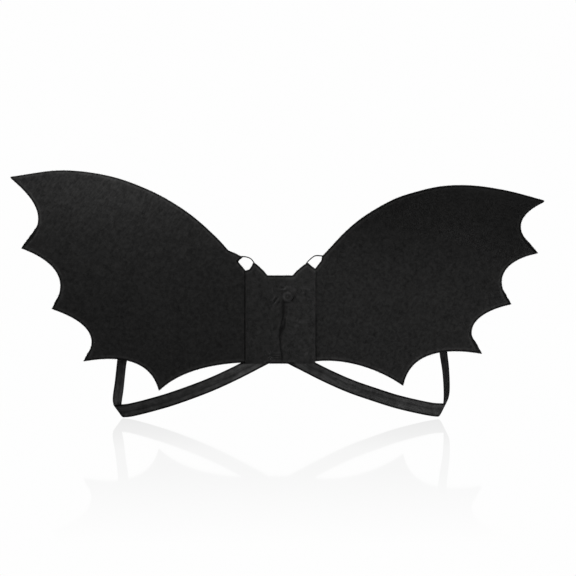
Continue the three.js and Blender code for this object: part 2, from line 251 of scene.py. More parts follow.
napLook = {
    "cloudRoughness": 0.62,
    "cloudDistortion": 0.6,
    "patchScale": 0.25,  # of the clouds' scale
    "patchShare": 0.15,
    "wanderScale": 0.12,  # of the hairs' scale
    "wander": 0.004,  # metres the hairs are bent aside
    "hairs": [((0.0, 0.35, 0.0), 8.0), ((0.0, -0.75, 0.3), 8.0), ((0.0, 1.4, 0.6), 7.0)],  # turn, stretch
    "hairRange": (0.5, 0.78),
    "streakTurn": (0.0, -1.0, 0.0),
    "streakStretch": 4.0,
    "streakScale": 0.28,
    "streakRange": (0.45, 0.75),
    "streakTone": 0.2,
    "reliefShares": (0.5, 0.35, 0.3),  # clouds, hairs, streaks
}


def makeNapGroup():
    # Fibres matted in all directions: mottle is the cloudy tone, fibre the single hairs, height the relief
    inputs = [("Place", None), ("Cloud Size", 9.0), ("Fibre Size", 0.9), ("Streaks", 0.5)]
    tree, given, end = newShaderGroup("mattedNap", inputs, ["Mottle", "Fibre", "Height"])
    place = given["Place"]
    metres = sums(tree, "DIVIDE", 1000.0, given["Cloud Size"])
    clouds = noiseTone(tree, place, metres, 4.0, napLook["cloudRoughness"], napLook["cloudDistortion"])
    patches = noiseTone(tree, place, times(tree, metres, napLook["patchScale"]), 2.0)
    patchShare = napLook["patchShare"]
    mottle = plus(tree, times(tree, clouds, 1 - patchShare), times(tree, patches, patchShare))
    fine = sums(tree, "DIVIDE", 1000.0, given["Fibre Size"])
    inputs = {"Vector": place, "Scale": times(tree, fine, napLook["wanderScale"]), "Detail": 1.0}
    bend = put(tree, "ShaderNodeTexNoise", inputs).outputs["Color"]
    inputs = {0: bend, 1: (napLook["wander"],) * 3, 2: place}
    bent = firstOut(tree, "ShaderNodeVectorMath", inputs, operation="MULTIPLY_ADD")
    hairs = None
    for turn, stretch in napLook["hairs"]:
        layer = stretchedNoise(tree, bent, turn, stretch, fine, 2.0)
        hairs = layer if hairs is None else sums(tree, "MAXIMUM", hairs, layer)
    fibre = spread(tree, hairs, *napLook["hairRange"], 0.0, 1.0)
    scale = times(tree, fine, napLook["streakScale"])
    slant = stretchedNoise(tree, place, napLook["streakTurn"], napLook["streakStretch"], scale)
    streak = times(tree, spread(tree, slant, *napLook["streakRange"], 0.0, 1.0), given["Streaks"])
    ofClouds, ofHairs, ofStreaks = napLook["reliefShares"]
    lumps = plus(tree, times(tree, clouds, ofClouds), times(tree, fibre, ofHairs))
    height = plus(tree, lumps, times(tree, streak, ofStreaks))
    tree.links.new(plus(tree, mottle, times(tree, streak, napLook["streakTone"])), end.inputs["Mottle"])
    tree.links.new(fibre, end.inputs["Fibre"])
    tree.links.new(height, end.inputs["Height"])
    return tree


lintLook = {
    "speckEdge": (0.03, 0.1),
    "chosen": (0.94, 0.95),  # cells drawn above this carry a speck
    "dustScale": 14.0,
    "dustRange": (0.5, 0.8),
    "dustAmount": 0.25,
}


def makeLintGroup():
    # Sparse pale specks and a faint even dusting
    inputs = [("Place", None), ("Speck Size", 3.0), ("Amount", 0.5)]
    tree, given, end = newShaderGroup("lintAndDust", inputs, ["Mask"])
    scale = sums(tree, "DIVIDE", 1000.0, given["Speck Size"])
    cells = put(tree, "ShaderNodeTexVoronoi", {"Vector": given["Place"], "Scale": scale})
    speck = spread(tree, cells.outputs["Distance"], *lintLook["speckEdge"], 1.0, 0.0)
    drawn = firstOut(tree, "ShaderNodeSeparateColor", {0: cells.outputs["Color"]})
    chosen = spread(tree, drawn, *lintLook["chosen"], 0.0, 1.0)
    dusting = noiseTone(tree, given["Place"], lintLook["dustScale"], 5.0)
    dust = spread(tree, dusting, *lintLook["dustRange"], 0.0, lintLook["dustAmount"])
    mask = sums(tree, "MAXIMUM", times(tree, speck, chosen), dust)
    tree.links.new(times(tree, mask, given["Amount"]), end.inputs["Mask"])
    return tree


napGroup = makeNapGroup()
lintGroup = makeLintGroup()


def useGroup(tree, group, values):
    return put(tree, "ShaderNodeGroup", values, node_tree=group).outputs


def newMaterial(name, roughness, sheen, sheenRoughness, specular=0.5):
    material = bpy.data.materials.new(name)
    material.use_nodes = True
    shader = material.node_tree.nodes["Principled BSDF"]
    shader.inputs["Roughness"].default_value = roughness
    shader.inputs["Sheen Weight"].default_value = sheen
    shader.inputs["Sheen Roughness"].default_value = sheenRoughness
    shader.inputs["Specular IOR Level"].default_value = specular
    return material, material.node_tree, shader


# Felt finish

feltLook = {
    "dark": 0.0108,
    "light": 0.0388,
    "clouds": (0.3, 0.75),
    "fibreLift": 0.043,
    "fibreShare": 0.35,
    # millimetres from the cut, tone: painted shade along the cut, then a painted highlight just inside it
    "cutEdgeShadeAndHighlight": [(0.0, 0.28), (1.7, 0.34), (2.5, 0.85), (3.2, 1.6), (4.8, 1.5), (7.0, 1.0)],
    "cloudSize": 6.0,
    "fibreSize": 0.8,
    "relief": 0.45,  # millimetres
    "reliefStrength": 0.8,
    "sheen": 0.10,
    "sheenRoughness": 0.55,
    "specular": 0.2,
    "roughness": (0.97, 0.82),  # between the hairs and on them
    "lint": {"Speck Size": 9.0, "Amount": 0.1},
    "lintTone": 0.16,
    "lumpHeight": 0.35,
    "lumpSize": 7.0,
}


def makeFelt(name, streaks, tone=1.0):
    look = feltLook
    material, tree, shader = newMaterial(name, 0.95, look["sheen"], look["sheenRoughness"], look["specular"])
    place = ownPlace(tree)
    brushed = times(tree, attributeTone(tree, "brushed"), streaks)
    sizes = {"Cloud Size": look["cloudSize"], "Fibre Size": look["fibreSize"]}
    nap = useGroup(tree, napGroup, {"Place": place, **sizes, "Streaks": brushed})
    lint = useGroup(tree, lintGroup, {"Place": place, **look["lint"]})["Mask"]
    cloudy = spread(tree, nap["Mottle"], *look["clouds"], 0.0, 1.0)
    ground = blendColours(tree, cloudy, grey(look["dark"] * tone), grey(look["light"] * tone, 0.01))
    hairy = times(tree, nap["Fibre"], look["fibreShare"])
    furred = blendColours(tree, hairy, ground, grey(look["fibreLift"] * tone))
    # painted shade and painted highlight along the cut edge
    rim = darken(tree, furred, toneAlong(tree, attributeTone(tree, "fromCut"), look["cutEdgeShadeAndHighlight"]))
    # painted light and shade from the tone attribute that panelFold and wingTones fill
    trimmed = darken(tree, rim, attributeTone(tree, "paintedLightTone"))
    dusted = blendColours(tree, lint, trimmed, grey(look["lintTone"], 0.02))
    tree.links.new(dusted, shader.inputs["Base Color"])
    tree.links.new(spread(tree, nap["Fibre"], 0.0, 1.0, *look["roughness"]), shader.inputs["Roughness"])
    addRelief(tree, shader, nap["Height"], look["reliefStrength"], look["relief"])
    return material


# Elastic finish, on the band's own UV map: u runs along the band in metres, v across it from 0 to 1

elasticLook = {
    "dark": 0.008,
    "light": 0.082,
    "selvedge": 0.13,  # tone of the two edges
    "selvedgeFrom": (0.73, 0.81),  # shares of the half width
    "groove": 0.72,  # painted shade of the lengthwise groove
    "groovePlace": 0.42,
    "grooveReach": (0.03, 0.09),
    "pickPitch": 0.9,  # crosswise threads
    "pickShare": 0.3,
    "pickLift": 1.3,
    "ribs": 11,
    "broadPlace": 0.24,  # of the first of two broad stripes
    "streakScale": (60.0, 8.0, 1.0),
    "streakRange": (0.36, 0.64),
    "wornScale": 110.0,
    "wornRange": (0.38, 0.64),
    "weights": {"ribs": 0.15, "broad": 0.22, "streaks": 0.42, "worn": 0.38},
    "reliefShares": (0.6, 0.4),  # crosswise threads, wear
    "relief": 0.12,
    "reliefStrength": 0.9,
    "roughness": (0.7, 0.52),
    "lint": {"Speck Size": 5.0, "Amount": 0.25},
    "lintTone": 0.14,
}


def wave(tree, turns, shape="COSINE"):
    return spread(tree, sums(tree, shape, turns), -1.0, 1.0, 0.0, 1.0)


def makeElastic():
    look, weights = elasticLook, elasticLook["weights"]
    material, tree, shader = newMaterial("blackElastic", 0.62, 0.05, 0.4, 0.25)
    uv = firstOut(tree, "ShaderNodeUVMap", uv_map="alongBand")
    parts = put(tree, "ShaderNodeSeparateXYZ", {0: uv}).outputs
    turnsAlong = times(tree, parts["X"], 2000.0 * math.pi / look["pickPitch"])
    turnsAcross = times(tree, parts["Y"], 2.0 * math.pi * look["ribs"])
    pickHeight = wave(tree, plus(tree, turnsAlong, sums(tree, "SINE", turnsAcross)), "SINE")
    ribs = wave(tree, turnsAcross)
    fromBroad = sums(tree, "SUBTRACT", parts["Y"], look["broadPlace"])
    broad = wave(tree, times(tree, fromBroad, 4.0 * math.pi))
    fromMiddle = sums(tree, "ABSOLUTE", sums(tree, "MULTIPLY_ADD", parts["Y"], 2.0, -1.0))
    selvedge = spread(tree, fromMiddle, *look["selvedgeFrom"], 1.0, look["selvedge"])
    fromGroove = sums(tree, "ABSOLUTE", sums(tree, "SUBTRACT", parts["Y"], look["groovePlace"]))
    # painted shade of the groove
    groove = spread(tree, fromGroove, *look["grooveReach"], look["groove"], 1.0)
    place = ownPlace(tree)
    worn = noiseTone(tree, place, look["wornScale"], 4.0, 0.6)
    drawn = firstOut(tree, "ShaderNodeVectorMath", {0: uv, 1: look["streakScale"]}, operation="MULTIPLY")
    streaks = noiseTone(tree, drawn, 1.0, 3.0, 0.55)
    lint = useGroup(tree, lintGroup, {"Place": place, **look["lint"]})["Mask"]
    tone = plus(tree, times(tree, ribs, weights["ribs"]), times(tree, broad, weights["broad"]))
    drawnTone = spread(tree, streaks, *look["streakRange"], 0.0, 1.0)
    tone = plus(tree, tone, times(tree, drawnTone, weights["streaks"]))
    wornTone = spread(tree, worn, *look["wornRange"], 0.0, 1.0)
    tone = plus(tree, tone, times(tree, wornTone, weights["worn"]))
    ground = blendColours(tree, tone, grey(look["dark"]), grey(look["light"]))
    pickColour = grey(look["light"] * look["pickLift"])
    picked = blendColours(tree, times(tree, pickHeight, look["pickShare"]), ground, pickColour)
    # the selvedges, then painted shade in the groove and painted light along the band
    selvedgeAndPaintedLight = times(tree, times(tree, selvedge, groove), attributeTone(tree, "bandPaintedLight"))
    dusted = blendColours(tree, lint, darken(tree, picked, selvedgeAndPaintedLight), grey(look["lintTone"], 0.02))
    tree.links.new(dusted, shader.inputs["Base Color"])
    tree.links.new(spread(tree, worn, 0.3, 0.7, *look["roughness"]), shader.inputs["Roughness"])
    ofPicks, ofWear = look["reliefShares"]
    height = plus(tree, times(tree, pickHeight, ofPicks), times(tree, worn, ofWear))
    addRelief(tree, shader, height, look["reliefStrength"], look["relief"])
    return material


# Sewing thread and stray fibres


def makeThread(name, tone, twist):
    material, tree, shader = newMaterial(name, 0.55, 0.1, 0.5, 0.4)
    turned = firstOut(tree, "ShaderNodeMapping", {"Vector": ownPlace(tree), "Rotation": (0.0, 0.6, 0.0)})
    inputs = {"Vector": turned, "Scale": twist, "Distortion": 1.5}
    ply = put(tree, "ShaderNodeTexWave", inputs).outputs["Fac"]
    tree.links.new(blendColours(tree, ply, grey(tone * 0.6), grey(tone * 1.4)), shader.inputs["Base Color"])
    addRelief(tree, shader, ply, 0.5, 0.05)
    return material


wingFelt = makeFelt("blackFeltWing", 1.3)
panelFelt = makeFelt("blackFeltPanel", 0.4, 1.12)
blackElastic = makeElastic()
blackThread = makeThread("blackThread", 0.015, 420.0)
strayNap = makeThread("strayNap", 0.02, 260.0)
paleLint = makeThread("paleLint", 0.15, 260.0)
print("finishes ready")


# Geometry Nodes: the wall of a cloth, the ribbed band, the stitch rows and the stray fibres


def newNodeTree(name, inputs):
    tree = bpy.data.node_groups.new(name, "GeometryNodeTree")
    tree.interface.new_socket("Geometry", in_out="INPUT", socket_type="NodeSocketGeometry")
    for label, value in inputs:
        if value is None:
            kind = "NodeSocketMaterial"
        elif isinstance(value, tuple):
            kind = "NodeSocketVector"
        elif isinstance(value, int):
            kind = "NodeSocketInt"
        else:
            kind = "NodeSocketFloat"
        socket = tree.interface.new_socket(label, in_out="INPUT", socket_type=kind)
        if value is not None:
            socket.default_value = value
    tree.interface.new_socket("Geometry", in_out="OUTPUT", socket_type="NodeSocketGeometry")
    return tree, tree.nodes.new("NodeGroupInput").outputs, tree.nodes.new("NodeGroupOutput")


def namedValue(tree, name):
    node = put(tree, "GeometryNodeInputNamedAttribute", {"Name": name}, data_type="FLOAT")
    return node.outputs["Attribute"]


def closeTree(tree, end, geometry, material):
    smooth = firstOut(tree, "GeometryNodeSetShadeSmooth", {"Geometry": geometry})
    whole = firstOut(tree, "GeometryNodeRealizeInstances", {"Geometry": smooth})
    finished = firstOut(tree, "GeometryNodeSetMaterial", {"Geometry": whole, "Material": material})
    tree.links.new(finished, end.inputs["Geometry"])


def bothFaces(tree, cloth, normal, front, back):
    # front and back are distances from the middle; the faces meet where both are nothing
    sides = []
    for distance, flipped in ((front, False), (back, True)):
        signed = times(tree, distance, -1.0) if flipped else distance
        offset = firstOut(tree, "ShaderNodeVectorMath", {0: normal, "Scale": signed}, operation="SCALE")
        side = firstOut(tree, "GeometryNodeSetPosition", {"Geometry": cloth, "Offset": offset})
        if flipped:
            side = firstOut(tree, "GeometryNodeFlipFaces", {"Mesh": side})
        sides.append(side)
    joined = put(tree, "GeometryNodeJoinGeometry")
    for side in sides:
        tree.links.new(side, joined.inputs[0])
    inputs = {"Geometry": joined.outputs[0], "Distance": 2e-6}
    return firstOut(tree, "GeometryNodeMergeByDistance", inputs)


def makeFeltTree():
    inputs = [
        ("Thickness", 0.0025),
        ("Lump Height", 0.0002),
        ("Lump Size", 0.006),
        ("Seed", 1),
        ("Material", None),
    ]
    tree, given, end = newNodeTree("feltWall", inputs)
    normal = firstOut(tree, "GeometryNodeInputNormal")
    place = firstOut(tree, "GeometryNodeInputPosition")
    edge = namedValue(tree, "edgeShare")
    pressed = namedValue(tree, "pressedIn")
    scale = sums(tree, "DIVIDE", 1.0, given["Lump Size"])
    distances = []
    for shift in (0.0, 37.0):
        seed = plus(tree, given["Seed"], shift)
        inputs = {"Vector": place, "W": seed, "Scale": scale, "Detail": 3.0, "Roughness": 0.55}
        lumps = firstOut(tree, "ShaderNodeTexNoise", inputs, noise_dimensions="4D")
        relief = times(tree, sums(tree, "SUBTRACT", lumps, 0.75), given["Lump Height"])
        wall = sums(tree, "MULTIPLY_ADD", given["Thickness"], 0.5, relief)
        distances.append(times(tree, wall, edge))
    front = sums(tree, "SUBTRACT", distances[0], pressed)
    cloth = bothFaces(tree, given["Geometry"], normal, front, distances[1])
    closeTree(tree, end, cloth, given["Material"])
    return tree


def makeBandTree():
    inputs = [("Thickness", 0.0016), ("Rib Count", 11), ("Rib Depth", 0.0002), ("Material", None)]
    tree, given, end = newNodeTree("ribbedBand", inputs)
    normal = firstOut(tree, "GeometryNodeInputNormal")
    across = namedValue(tree, "acrossShare")
    edge = namedValue(tree, "edgeShare")
    turns = times(tree, times(tree, across, given["Rib Count"]), 2.0 * math.pi)
    groove = spread(tree, sums(tree, "COSINE", turns), -1.0, 1.0, 1.0, 0.0)
    depth = times(tree, groove, given["Rib Depth"])
    half = sums(tree, "SUBTRACT", times(tree, given["Thickness"], 0.5), depth)
    distance = times(tree, half, edge)
    band = bothFaces(tree, given["Geometry"], normal, distance, distance)
    closeTree(tree, end, band, given["Material"])
    return tree


def roundThread(tree, steps, start, middle, tip, sides, radius):
    inputs = {"Resolution": steps, "Start": start, "Middle": middle, "End": tip}
    line = firstOut(tree, "GeometryNodeCurveQuadraticBezier", inputs)
    ring = firstOut(tree, "GeometryNodeCurvePrimitiveCircle", {"Resolution": sides, "Radius": radius})
    inputs = {"Curve": line, "Profile Curve": ring, "Fill Caps": True}
    return firstOut(tree, "GeometryNodeCurveToMesh", inputs)


def makeStitchTree():
    inputs = [
        ("Pitch", 0.0034),
        ("Stitch Length", 0.0026),
        ("Thread Radius", 0.00022),
        ("Lift", 0.0003),
        ("Face Direction", (0.0, -1.0, 0.0)),
        ("Material", None),
    ]
    tree, given, end = newNodeTree("stitchRow", inputs)
    seam = firstOut(tree, "GeometryNodeMeshToCurve", {"Mesh": given["Geometry"]})
    points = put(tree, "GeometryNodeCurveToPoints", {"Curve": seam, "Length": given["Pitch"]}, mode="LENGTH")
    aligner = "FunctionNodeAlignRotationToVector"
    along = firstOut(tree, aligner, {"Vector": points.outputs["Tangent"]}, axis="X")
    inputs = {"Rotation": along, "Vector": given["Face Direction"]}
    facing = firstOut(tree, aligner, inputs, axis="Z", pivot_axis="X")
    halfLength = times(tree, given["Stitch Length"], 0.5)
    sunk = times(tree, given["Thread Radius"], -0.9)
    ends = []
    for sign in (-1.0, 1.0):
        reach = times(tree, halfLength, sign)
        ends.append(firstOut(tree, "ShaderNodeCombineXYZ", {0: reach, 2: sunk}))
    top = firstOut(tree, "ShaderNodeCombineXYZ", {2: given["Lift"]})
    stitch = roundThread(tree, 5, ends[0], top, ends[1], 6, given["Thread Radius"])
    inputs = {"Points": points.outputs["Points"], "Instance": stitch, "Rotation": facing}
    row = firstOut(tree, "GeometryNodeInstanceOnPoints", inputs)
    closeTree(tree, end, row, given["Material"])
    return tree


def makeFibreTree():
    inputs = [
        ("Density", 9000.0),
        ("Length", 0.004),
        ("Lift", 0.0006),
        ("Fibre Radius", 0.00006),
        ("Rim Reach", 1.1),
        ("Seed", 3),
        ("Material", None),
    ]
    tree, given, end = newNodeTree("strayFibres", inputs)
    inputs = {0: namedValue(tree, "fromCut"), 1: given["Rim Reach"]}
    chosen = firstOut(tree, "FunctionNodeCompare", inputs, operation="LESS_EQUAL")
    length, lift, seed = given["Length"], given["Lift"], given["Seed"]
    inputs = {"Mesh": given["Geometry"], "Selection": chosen, "Density": given["Density"], "Seed": seed}
    points = put(tree, "GeometryNodeDistributePointsOnFaces", inputs)
    inputs = {0: length, 1: times(tree, length, 0.3), 2: times(tree, lift, 0.4)}
    tip = firstOut(tree, "ShaderNodeCombineXYZ", inputs)
    bow = firstOut(tree, "ShaderNodeCombineXYZ", {0: times(tree, length, 0.5), 2: times(tree, lift, 2.0)})
    fibre = roundThread(tree, 3, (0.0, 0.0, 0.0), bow, tip, 3, given["Fibre Radius"])
    inputs = {2: 0.0, 3: 2.0 * math.pi, "Seed": seed}
    spin = put(tree, "FunctionNodeRandomValue", inputs, data_type="FLOAT")
    turn = firstOut(tree, "ShaderNodeCombineXYZ", {2: spin.outputs[1]})
    asRotation = firstOut(tree, "FunctionNodeEulerToRotation", {0: turn})
    inputs = {"Rotation": points.outputs["Rotation"], "Rotate By": asRotation}
    turned = firstOut(tree, "FunctionNodeRotateRotation", inputs, rotation_space="LOCAL")
    inputs = {2: 0.45, 3: 1.25, "Seed": plus(tree, seed, 11.0)}
    size = put(tree, "FunctionNodeRandomValue", inputs, data_type="FLOAT").outputs[1]
    inputs = {"Points": points.outputs["Points"], "Instance": fibre, "Rotation": turned, "Scale": size}
    fibres = firstOut(tree, "GeometryNodeInstanceOnPoints", inputs)
    closeTree(tree, end, fibres, given["Material"])
    return tree


feltTree = makeFeltTree()
bandTree = makeBandTree()
stitchTree = makeStitchTree()
fibreTree = makeFibreTree()


def grow(name, mesh, tree, values):
    # The tree's result replaces the starting mesh
    piece = bpy.data.objects.new(name, mesh)
    bpy.context.scene.collection.objects.link(piece)
    modifier = piece.modifiers.new(tree.name, "NODES")
    modifier.node_group = tree
    for item in tree.interface.items_tree:
        if item.in_out == "INPUT" and item.name in values:
            modifier[item.identifier] = values[item.name]
    graph = bpy.context.evaluated_depsgraph_get()
    evaluated = piece.evaluated_get(graph)
    grown = bpy.data.meshes.new_from_object(evaluated, preserve_all_data_layers=True, depsgraph=graph)
    grown.name = name
    piece.modifiers.remove(modifier)
    piece.data = grown
    bpy.data.meshes.remove(mesh)
    print("made", name, len(grown.polygons), "faces")
    return piece


# Curves and sheets


def throughPoints(points, steps):
    # Centripetal curve through the points, as a list with one list of samples per stretch
    padded = [points[0] * 2 - points[1], *points, points[-1] * 2 - points[-2]]
    stretches = []
    for i in range(len(points) - 1):
        p0, p1, p2, p3 = padded[i : i + 4]
        d0, d1, d2 = (math.sqrt(max((b - a).length, 1e-6)) for a, b in ((p0, p1), (p1, p2), (p2, p3)))
        m1 = ((p1 - p0) / d0 - (p2 - p0) / (d0 + d1) + (p2 - p1) / d1) * d1
        m2 = ((p2 - p1) / d1 - (p3 - p1) / (d1 + d2) + (p3 - p2) / d2) * d1
        samples = []
        for k in range(steps[i] + 1):
            t = k / steps[i]
            a = 2 * t**3 - 3 * t**2 + 1
            b = t**3 - 2 * t**2 + t
            samples.append(p1 * a + m1 * b + p2 * (1 - a) + m2 * (t**3 - t**2))
        stretches.append(samples)
    return stretches


def joinStretches(stretches):
    return [stretches[0][0]] + [point for samples in stretches for point in samples[1:]]


def byLength(line):
    # Returns a function from a share of the line's length to a point on it
    marks = [0.0]
    for a, b in zip(line, line[1:]):
        marks.append(marks[-1] + (b - a).length)

    def at(share):
        wanted = min(max(share, 0.0), 1.0) * marks[-1]
        low, high = 0, len(marks) - 1
        while high - low > 1:
            middle = (low + high) // 2
            low, high = (middle, high) if marks[middle] <= wanted else (low, middle)
        part = (wanted - marks[low]) / max(marks[high] - marks[low], 1e-9)
        return line[low].lerp(line[high], part)

    return at, marks[-1]


def readTable(table, where):
    # Straight-line lookup in rows of (key, value) with rising keys
    if where <= table[0][0]:
        return table[0][1]
    for (lowKey, low), (highKey, high) in zip(table, table[1:]):
        if where <= highKey:
            return low + (high - low) * (where - lowKey) / (highKey - lowKey)
    return table[-1][1]


def grownLine(line, amount):
    # The line moved to its left in x and z by an amount in millimetres
    moved = []
    for i, point in enumerate(line):
        run = line[min(i + 1, len(line) - 1)] - line[max(i - 1, 0)]
        moved.append(point + Vector((-run.z, 0.0, run.x)).normalized() * amount)
    return moved


def smoothly(value, low, high):
    share = min(max((value - low) / (high - low), 0.0), 1.0)
    return share * share * (3 - 2 * share)


rimSteps = [0.0, 0.2, 0.55, 1.05, 1.6]  # rows near a cut edge, in millimetres from it
wallRound = 1.2  # how far in from the cut the wall has its full thickness


def rowPlaces(length, rows):
    # Shares down a column: close together at both cut edges, even between
    places = []
    inner = len(rimSteps)
    for j in range(rows + 1):
        fromEdge = min(j, rows - j)
        if fromEdge < inner:
            share = min(rimSteps[fromEdge] / length, fromEdge / rows)
            places.append(share if j < rows - j else 1 - share)
        else:
            first = min(rimSteps[-1] / length, (inner - 1) / rows)
            places.append(first + (1 - 2 * first) * (j - inner + 1) / (rows - 2 * inner + 2))
    return places


def cutDistances(columns, sewn=None):
    # Distance of every point from the sheet's cut edge, leaving out the places that are sewn down
    starts, ends = [column[0] for column in columns], [column[-1] for column in columns]
    outline = [*columns[0], *ends, *columns[-1][::-1], *starts[::-1]]
    marks = []
    for a, b in zip(outline, outline[1:]):
        if sewn and sewn(a) and sewn(b):
            continue
        count = max(1, int((b - a).length / 0.4))
        marks += [a.lerp(b, k / count) for k in range(count)]
    tree = kdtree.KDTree(len(marks))
    for i, mark in enumerate(marks):
        tree.insert(mark, i)
    tree.balance()
    return [[tree.find(point)[2] for point in column] for column in columns]


def wallShares(distances):
    # Share of the wall's thickness, rounded off to nothing at the cut
    shares = []
    for i, column in enumerate(distances):
        if i in (0, len(distances) - 1):
            shares.append([0.0] * len(column))
            continue
        rounded = [math.sqrt(max(1 - (1 - min(d / wallRound, 1.0)) ** 2, 0.0)) for d in column]
        shares.append([0.0, *rounded[1:-1], 0.0])
    return shares


def sheetMesh(name, columns, uv, flipped, values, uvName="cutPiece"):
    # columns[i][j] are points in millimetres; values maps an attribute's name to its own grid of numbers
    mesh = bpy.data.meshes.new(name)
    rows = len(columns[0])
    faces = []
    for i in range(len(columns) - 1):
        for j in range(rows - 1):
            corners = [i * rows + j, (i + 1) * rows + j, (i + 1) * rows + j + 1, i * rows + j + 1]
            faces.append(corners[::-1] if flipped else corners)
    mesh.from_pydata([point * mm for column in columns for point in column], [], faces)
    layer = mesh.uv_layers.new(name=uvName)
    flatUv = [pair for column in uv for pair in column]
    for loop in mesh.loops:
        layer.data[loop.index].uv = flatUv[loop.vertex_index]
    for label, grid in values.items():
        attribute = mesh.attributes.new(label, "FLOAT", "POINT")
        attribute.data.foreach_set("value", [value for column in grid for value in column])
    mesh.update()
    return mesh


# Back panel

panelCut = {
    "width": 104.5,
    "height": 132.5,
    "cornerRise": 20.0,
    "cornerAcross": 0.775,
    "thickness": 2.5,
    "creaseDepth": 1.3,
    "puckerRadius": 5.6,
    "seamInset": 5.0,  # stitch row to the side edge
    "looseHem": 19.0,  # half width of the lower edge between the two bands
    "hemPress": 1.3,  # how far the felt is sewn down over a band
    "columns": 140,
    "rows": 170,
}
# Top edge: across as a share of the half width, rise as a share of cornerRise
panelTopEdge = [
    (-1, 0.36), (-0.89, 0.45), (-0.82, 0.72), (-0.775, 1), (-0.67, 0.81), (-0.47, 0.32), (-0.37, 0),
    (0.35, 0), (0.46, 0.32), (0.67, 0.78), (0.79, 0.95), (0.865, 0.76), (0.935, 0.62), (1, 0.51),
]
# Centre crease: lines of x, z, half width and strength, all but the last two in millimetres from the origin
creaseLines = [
    [(4.1, 28.0, 1.8, 0.6), (4.2, 22.0, 3.0, 1.2), (4.4, 12.0, 3.3, 1.3), (4.0, 5.0, 2.4, 1.3),
     (3.4, 0.5, 1.8, 1.2), (1.5, -4.0, 1.5, 1.1), (1.0, -11.0, 1.9, 1.1), (-0.1, -20.0, 2.2, 1.3),
     (-1.4, -26.2, 1.5, 1.4), (-0.6, -33.7, 1.1, 1.3), (-0.1, -41.2, 1.1, 1.2), (0.9, -48.7, 1.1, 1.1),
     (2.4, -56.2, 1.4, 1.3), (2.9, -66.0, 1.2, 0.7)],
    [(7.2, 0.5, 1.1, 1.2), (6.1, -6.7, 1.3, 1.1), (4.6, -12.5, 3.4, 1.1), (2.0, -18.5, 2.6, 0.9)],
]
pucker = (10.4, 34.1)
# Wrinkles and tucks: centre x, z, half length, slant in degrees, half width and height, which is below
# nothing where the felt is pressed in
wrinkles = [
    (1.6, 44.6, 3.4, 0, 1.4, 0.8), (6.6, 46.6, 3.6, 40, 1.5, 0.9), (11.5, 48.3, 3.4, -10, 1.9, 0.75),
    (18.5, 46.0, 5.5, -33, 2.6, 0.4), (2.7, 47.9, 1.8, 0, 1.1, -0.9), (0.0, 52.5, 1.8, 70, 1.4, 0.65),
    (13.5, 43.5, 5.5, -15, 1.6, 0.3), (-5.8, 48.7, 2.0, 0, 1.7, -0.5),
    (35.7, 46.4, 11.0, -12, 1.4, 0.35), (32.4, 36.3, 7.0, 0, 1.0, -0.4), (34.0, 39.6, 1.8, 20, 1.2, 0.6),
    (40.8, 41.3, 3.0, -5, 1.4, -0.4), (19.4, 30.6, 5.0, 48, 1.4, -0.85), (10.0, 24.9, 7.0, 0, 1.3, -0.6),
    (-12.1, 43.8, 4.0, 90, 1.0, 0.5), (-10.4, 31.0, 4.8, 57, 1.0, 0.9), (-5.7, 27.4, 6.4, 53, 1.0, 0.95),
    (-8.2, 28.0, 5.6, 54, 0.9, -0.9), (-3.0, 25.1, 4.0, 49, 0.9, -0.9), (-18.0, 18.8, 5.5, -55, 1.1, -0.45),
    (-14.5, 18.0, 5.0, -62, 1.1, 0.3), (-3.5, 15.0, 6.0, 85, 1.3, 0.3), (-24.0, 29.5, 5.0, 30, 2.4, -0.3),
    (8.8, 12.5, 7.0, 85, 2.0, -0.35), (-5.0, 1.5, 3.4, 20, 1.8, 0.35), (-2.3, -9.0, 6.0, 80, 1.3, 0.35),
    (-2.6, -31.5, 4.5, 84, 1.1, 0.6),
    (4.7, -40.0, 4.5, 86, 1.1, 0.45), (-6.0, -24.0, 4.0, 70, 1.6, 0.3), (24.0, -9.5, 4.0, 5, 1.2, 0.5),
    (28.0, -3.0, 5.0, -40, 1.4, 0.4), (30.0, -9.8, 2.6, -10, 1.0, -0.5), (22.0, -23.0, 6.0, 10, 2.0, -0.25),
    (32.0, -30.0, 5.0, 60, 2.4, 0.25), (38.2, -51.5, 4.0, 30, 2.4, 0.5), (48.6, -57.0, 2.4, 60, 1.6, 0.5),
    (43.0, -50.0, 3.4, 75, 1.2, -0.4), (14.0, -50.0, 6.0, 20, 1.6, -0.3), (47.5, -24.0, 5.0, 85, 1.4, 0.4),
    (-5.7, -50.4, 6.0, 0, 0.75, 0.6), (-5.7, -52.1, 6.0, 0, 0.7, -0.6), (-5.7, -53.8, 6.0, 0, 0.75, 0.6),
    (-5.7, -55.5, 6.0, 0, 0.7, -0.6), (-5.7, -57.2, 6.0, 0, 0.75, 0.5), (-38.0, 20.0, 9.0, 70, 3.0, -0.15),
    (-33.0, -20.0, 9.0, 80, 3.0, 0.2), (-40.0, -45.0, 8.0, 30, 3.0, -0.2), (-25.0, 50.0, 8.0, 15, 3.0, -0.2),
]

halfPanel = panelCut["width"] / 2
panelBottom = -panelCut["height"] / 2
panelTop = panelCut["height"] / 2


def panelEdge(across):
    return panelTop + panelCut["cornerRise"] * readTable(panelTopEdge, across)


def nearestOnLine(x, z, line):
    # Distance from the line as a share of its half width, and its strength there
    closest, strength = 99.0, 0.0
    for (ax, az, aw, a), (bx, bz, bw, b) in zip(line, line[1:]):
        dx, dz = bx - ax, bz - az
        share = min(max(((x - ax) * dx + (z - az) * dz) / (dx * dx + dz * dz), 0.0), 1.0)
        away = math.hypot(x - ax - dx * share, z - az - dz * share) / (aw + (bw - aw) * share)
        if away < closest:
            closest, strength = away, a + (b - a) * share
    return closest, strength


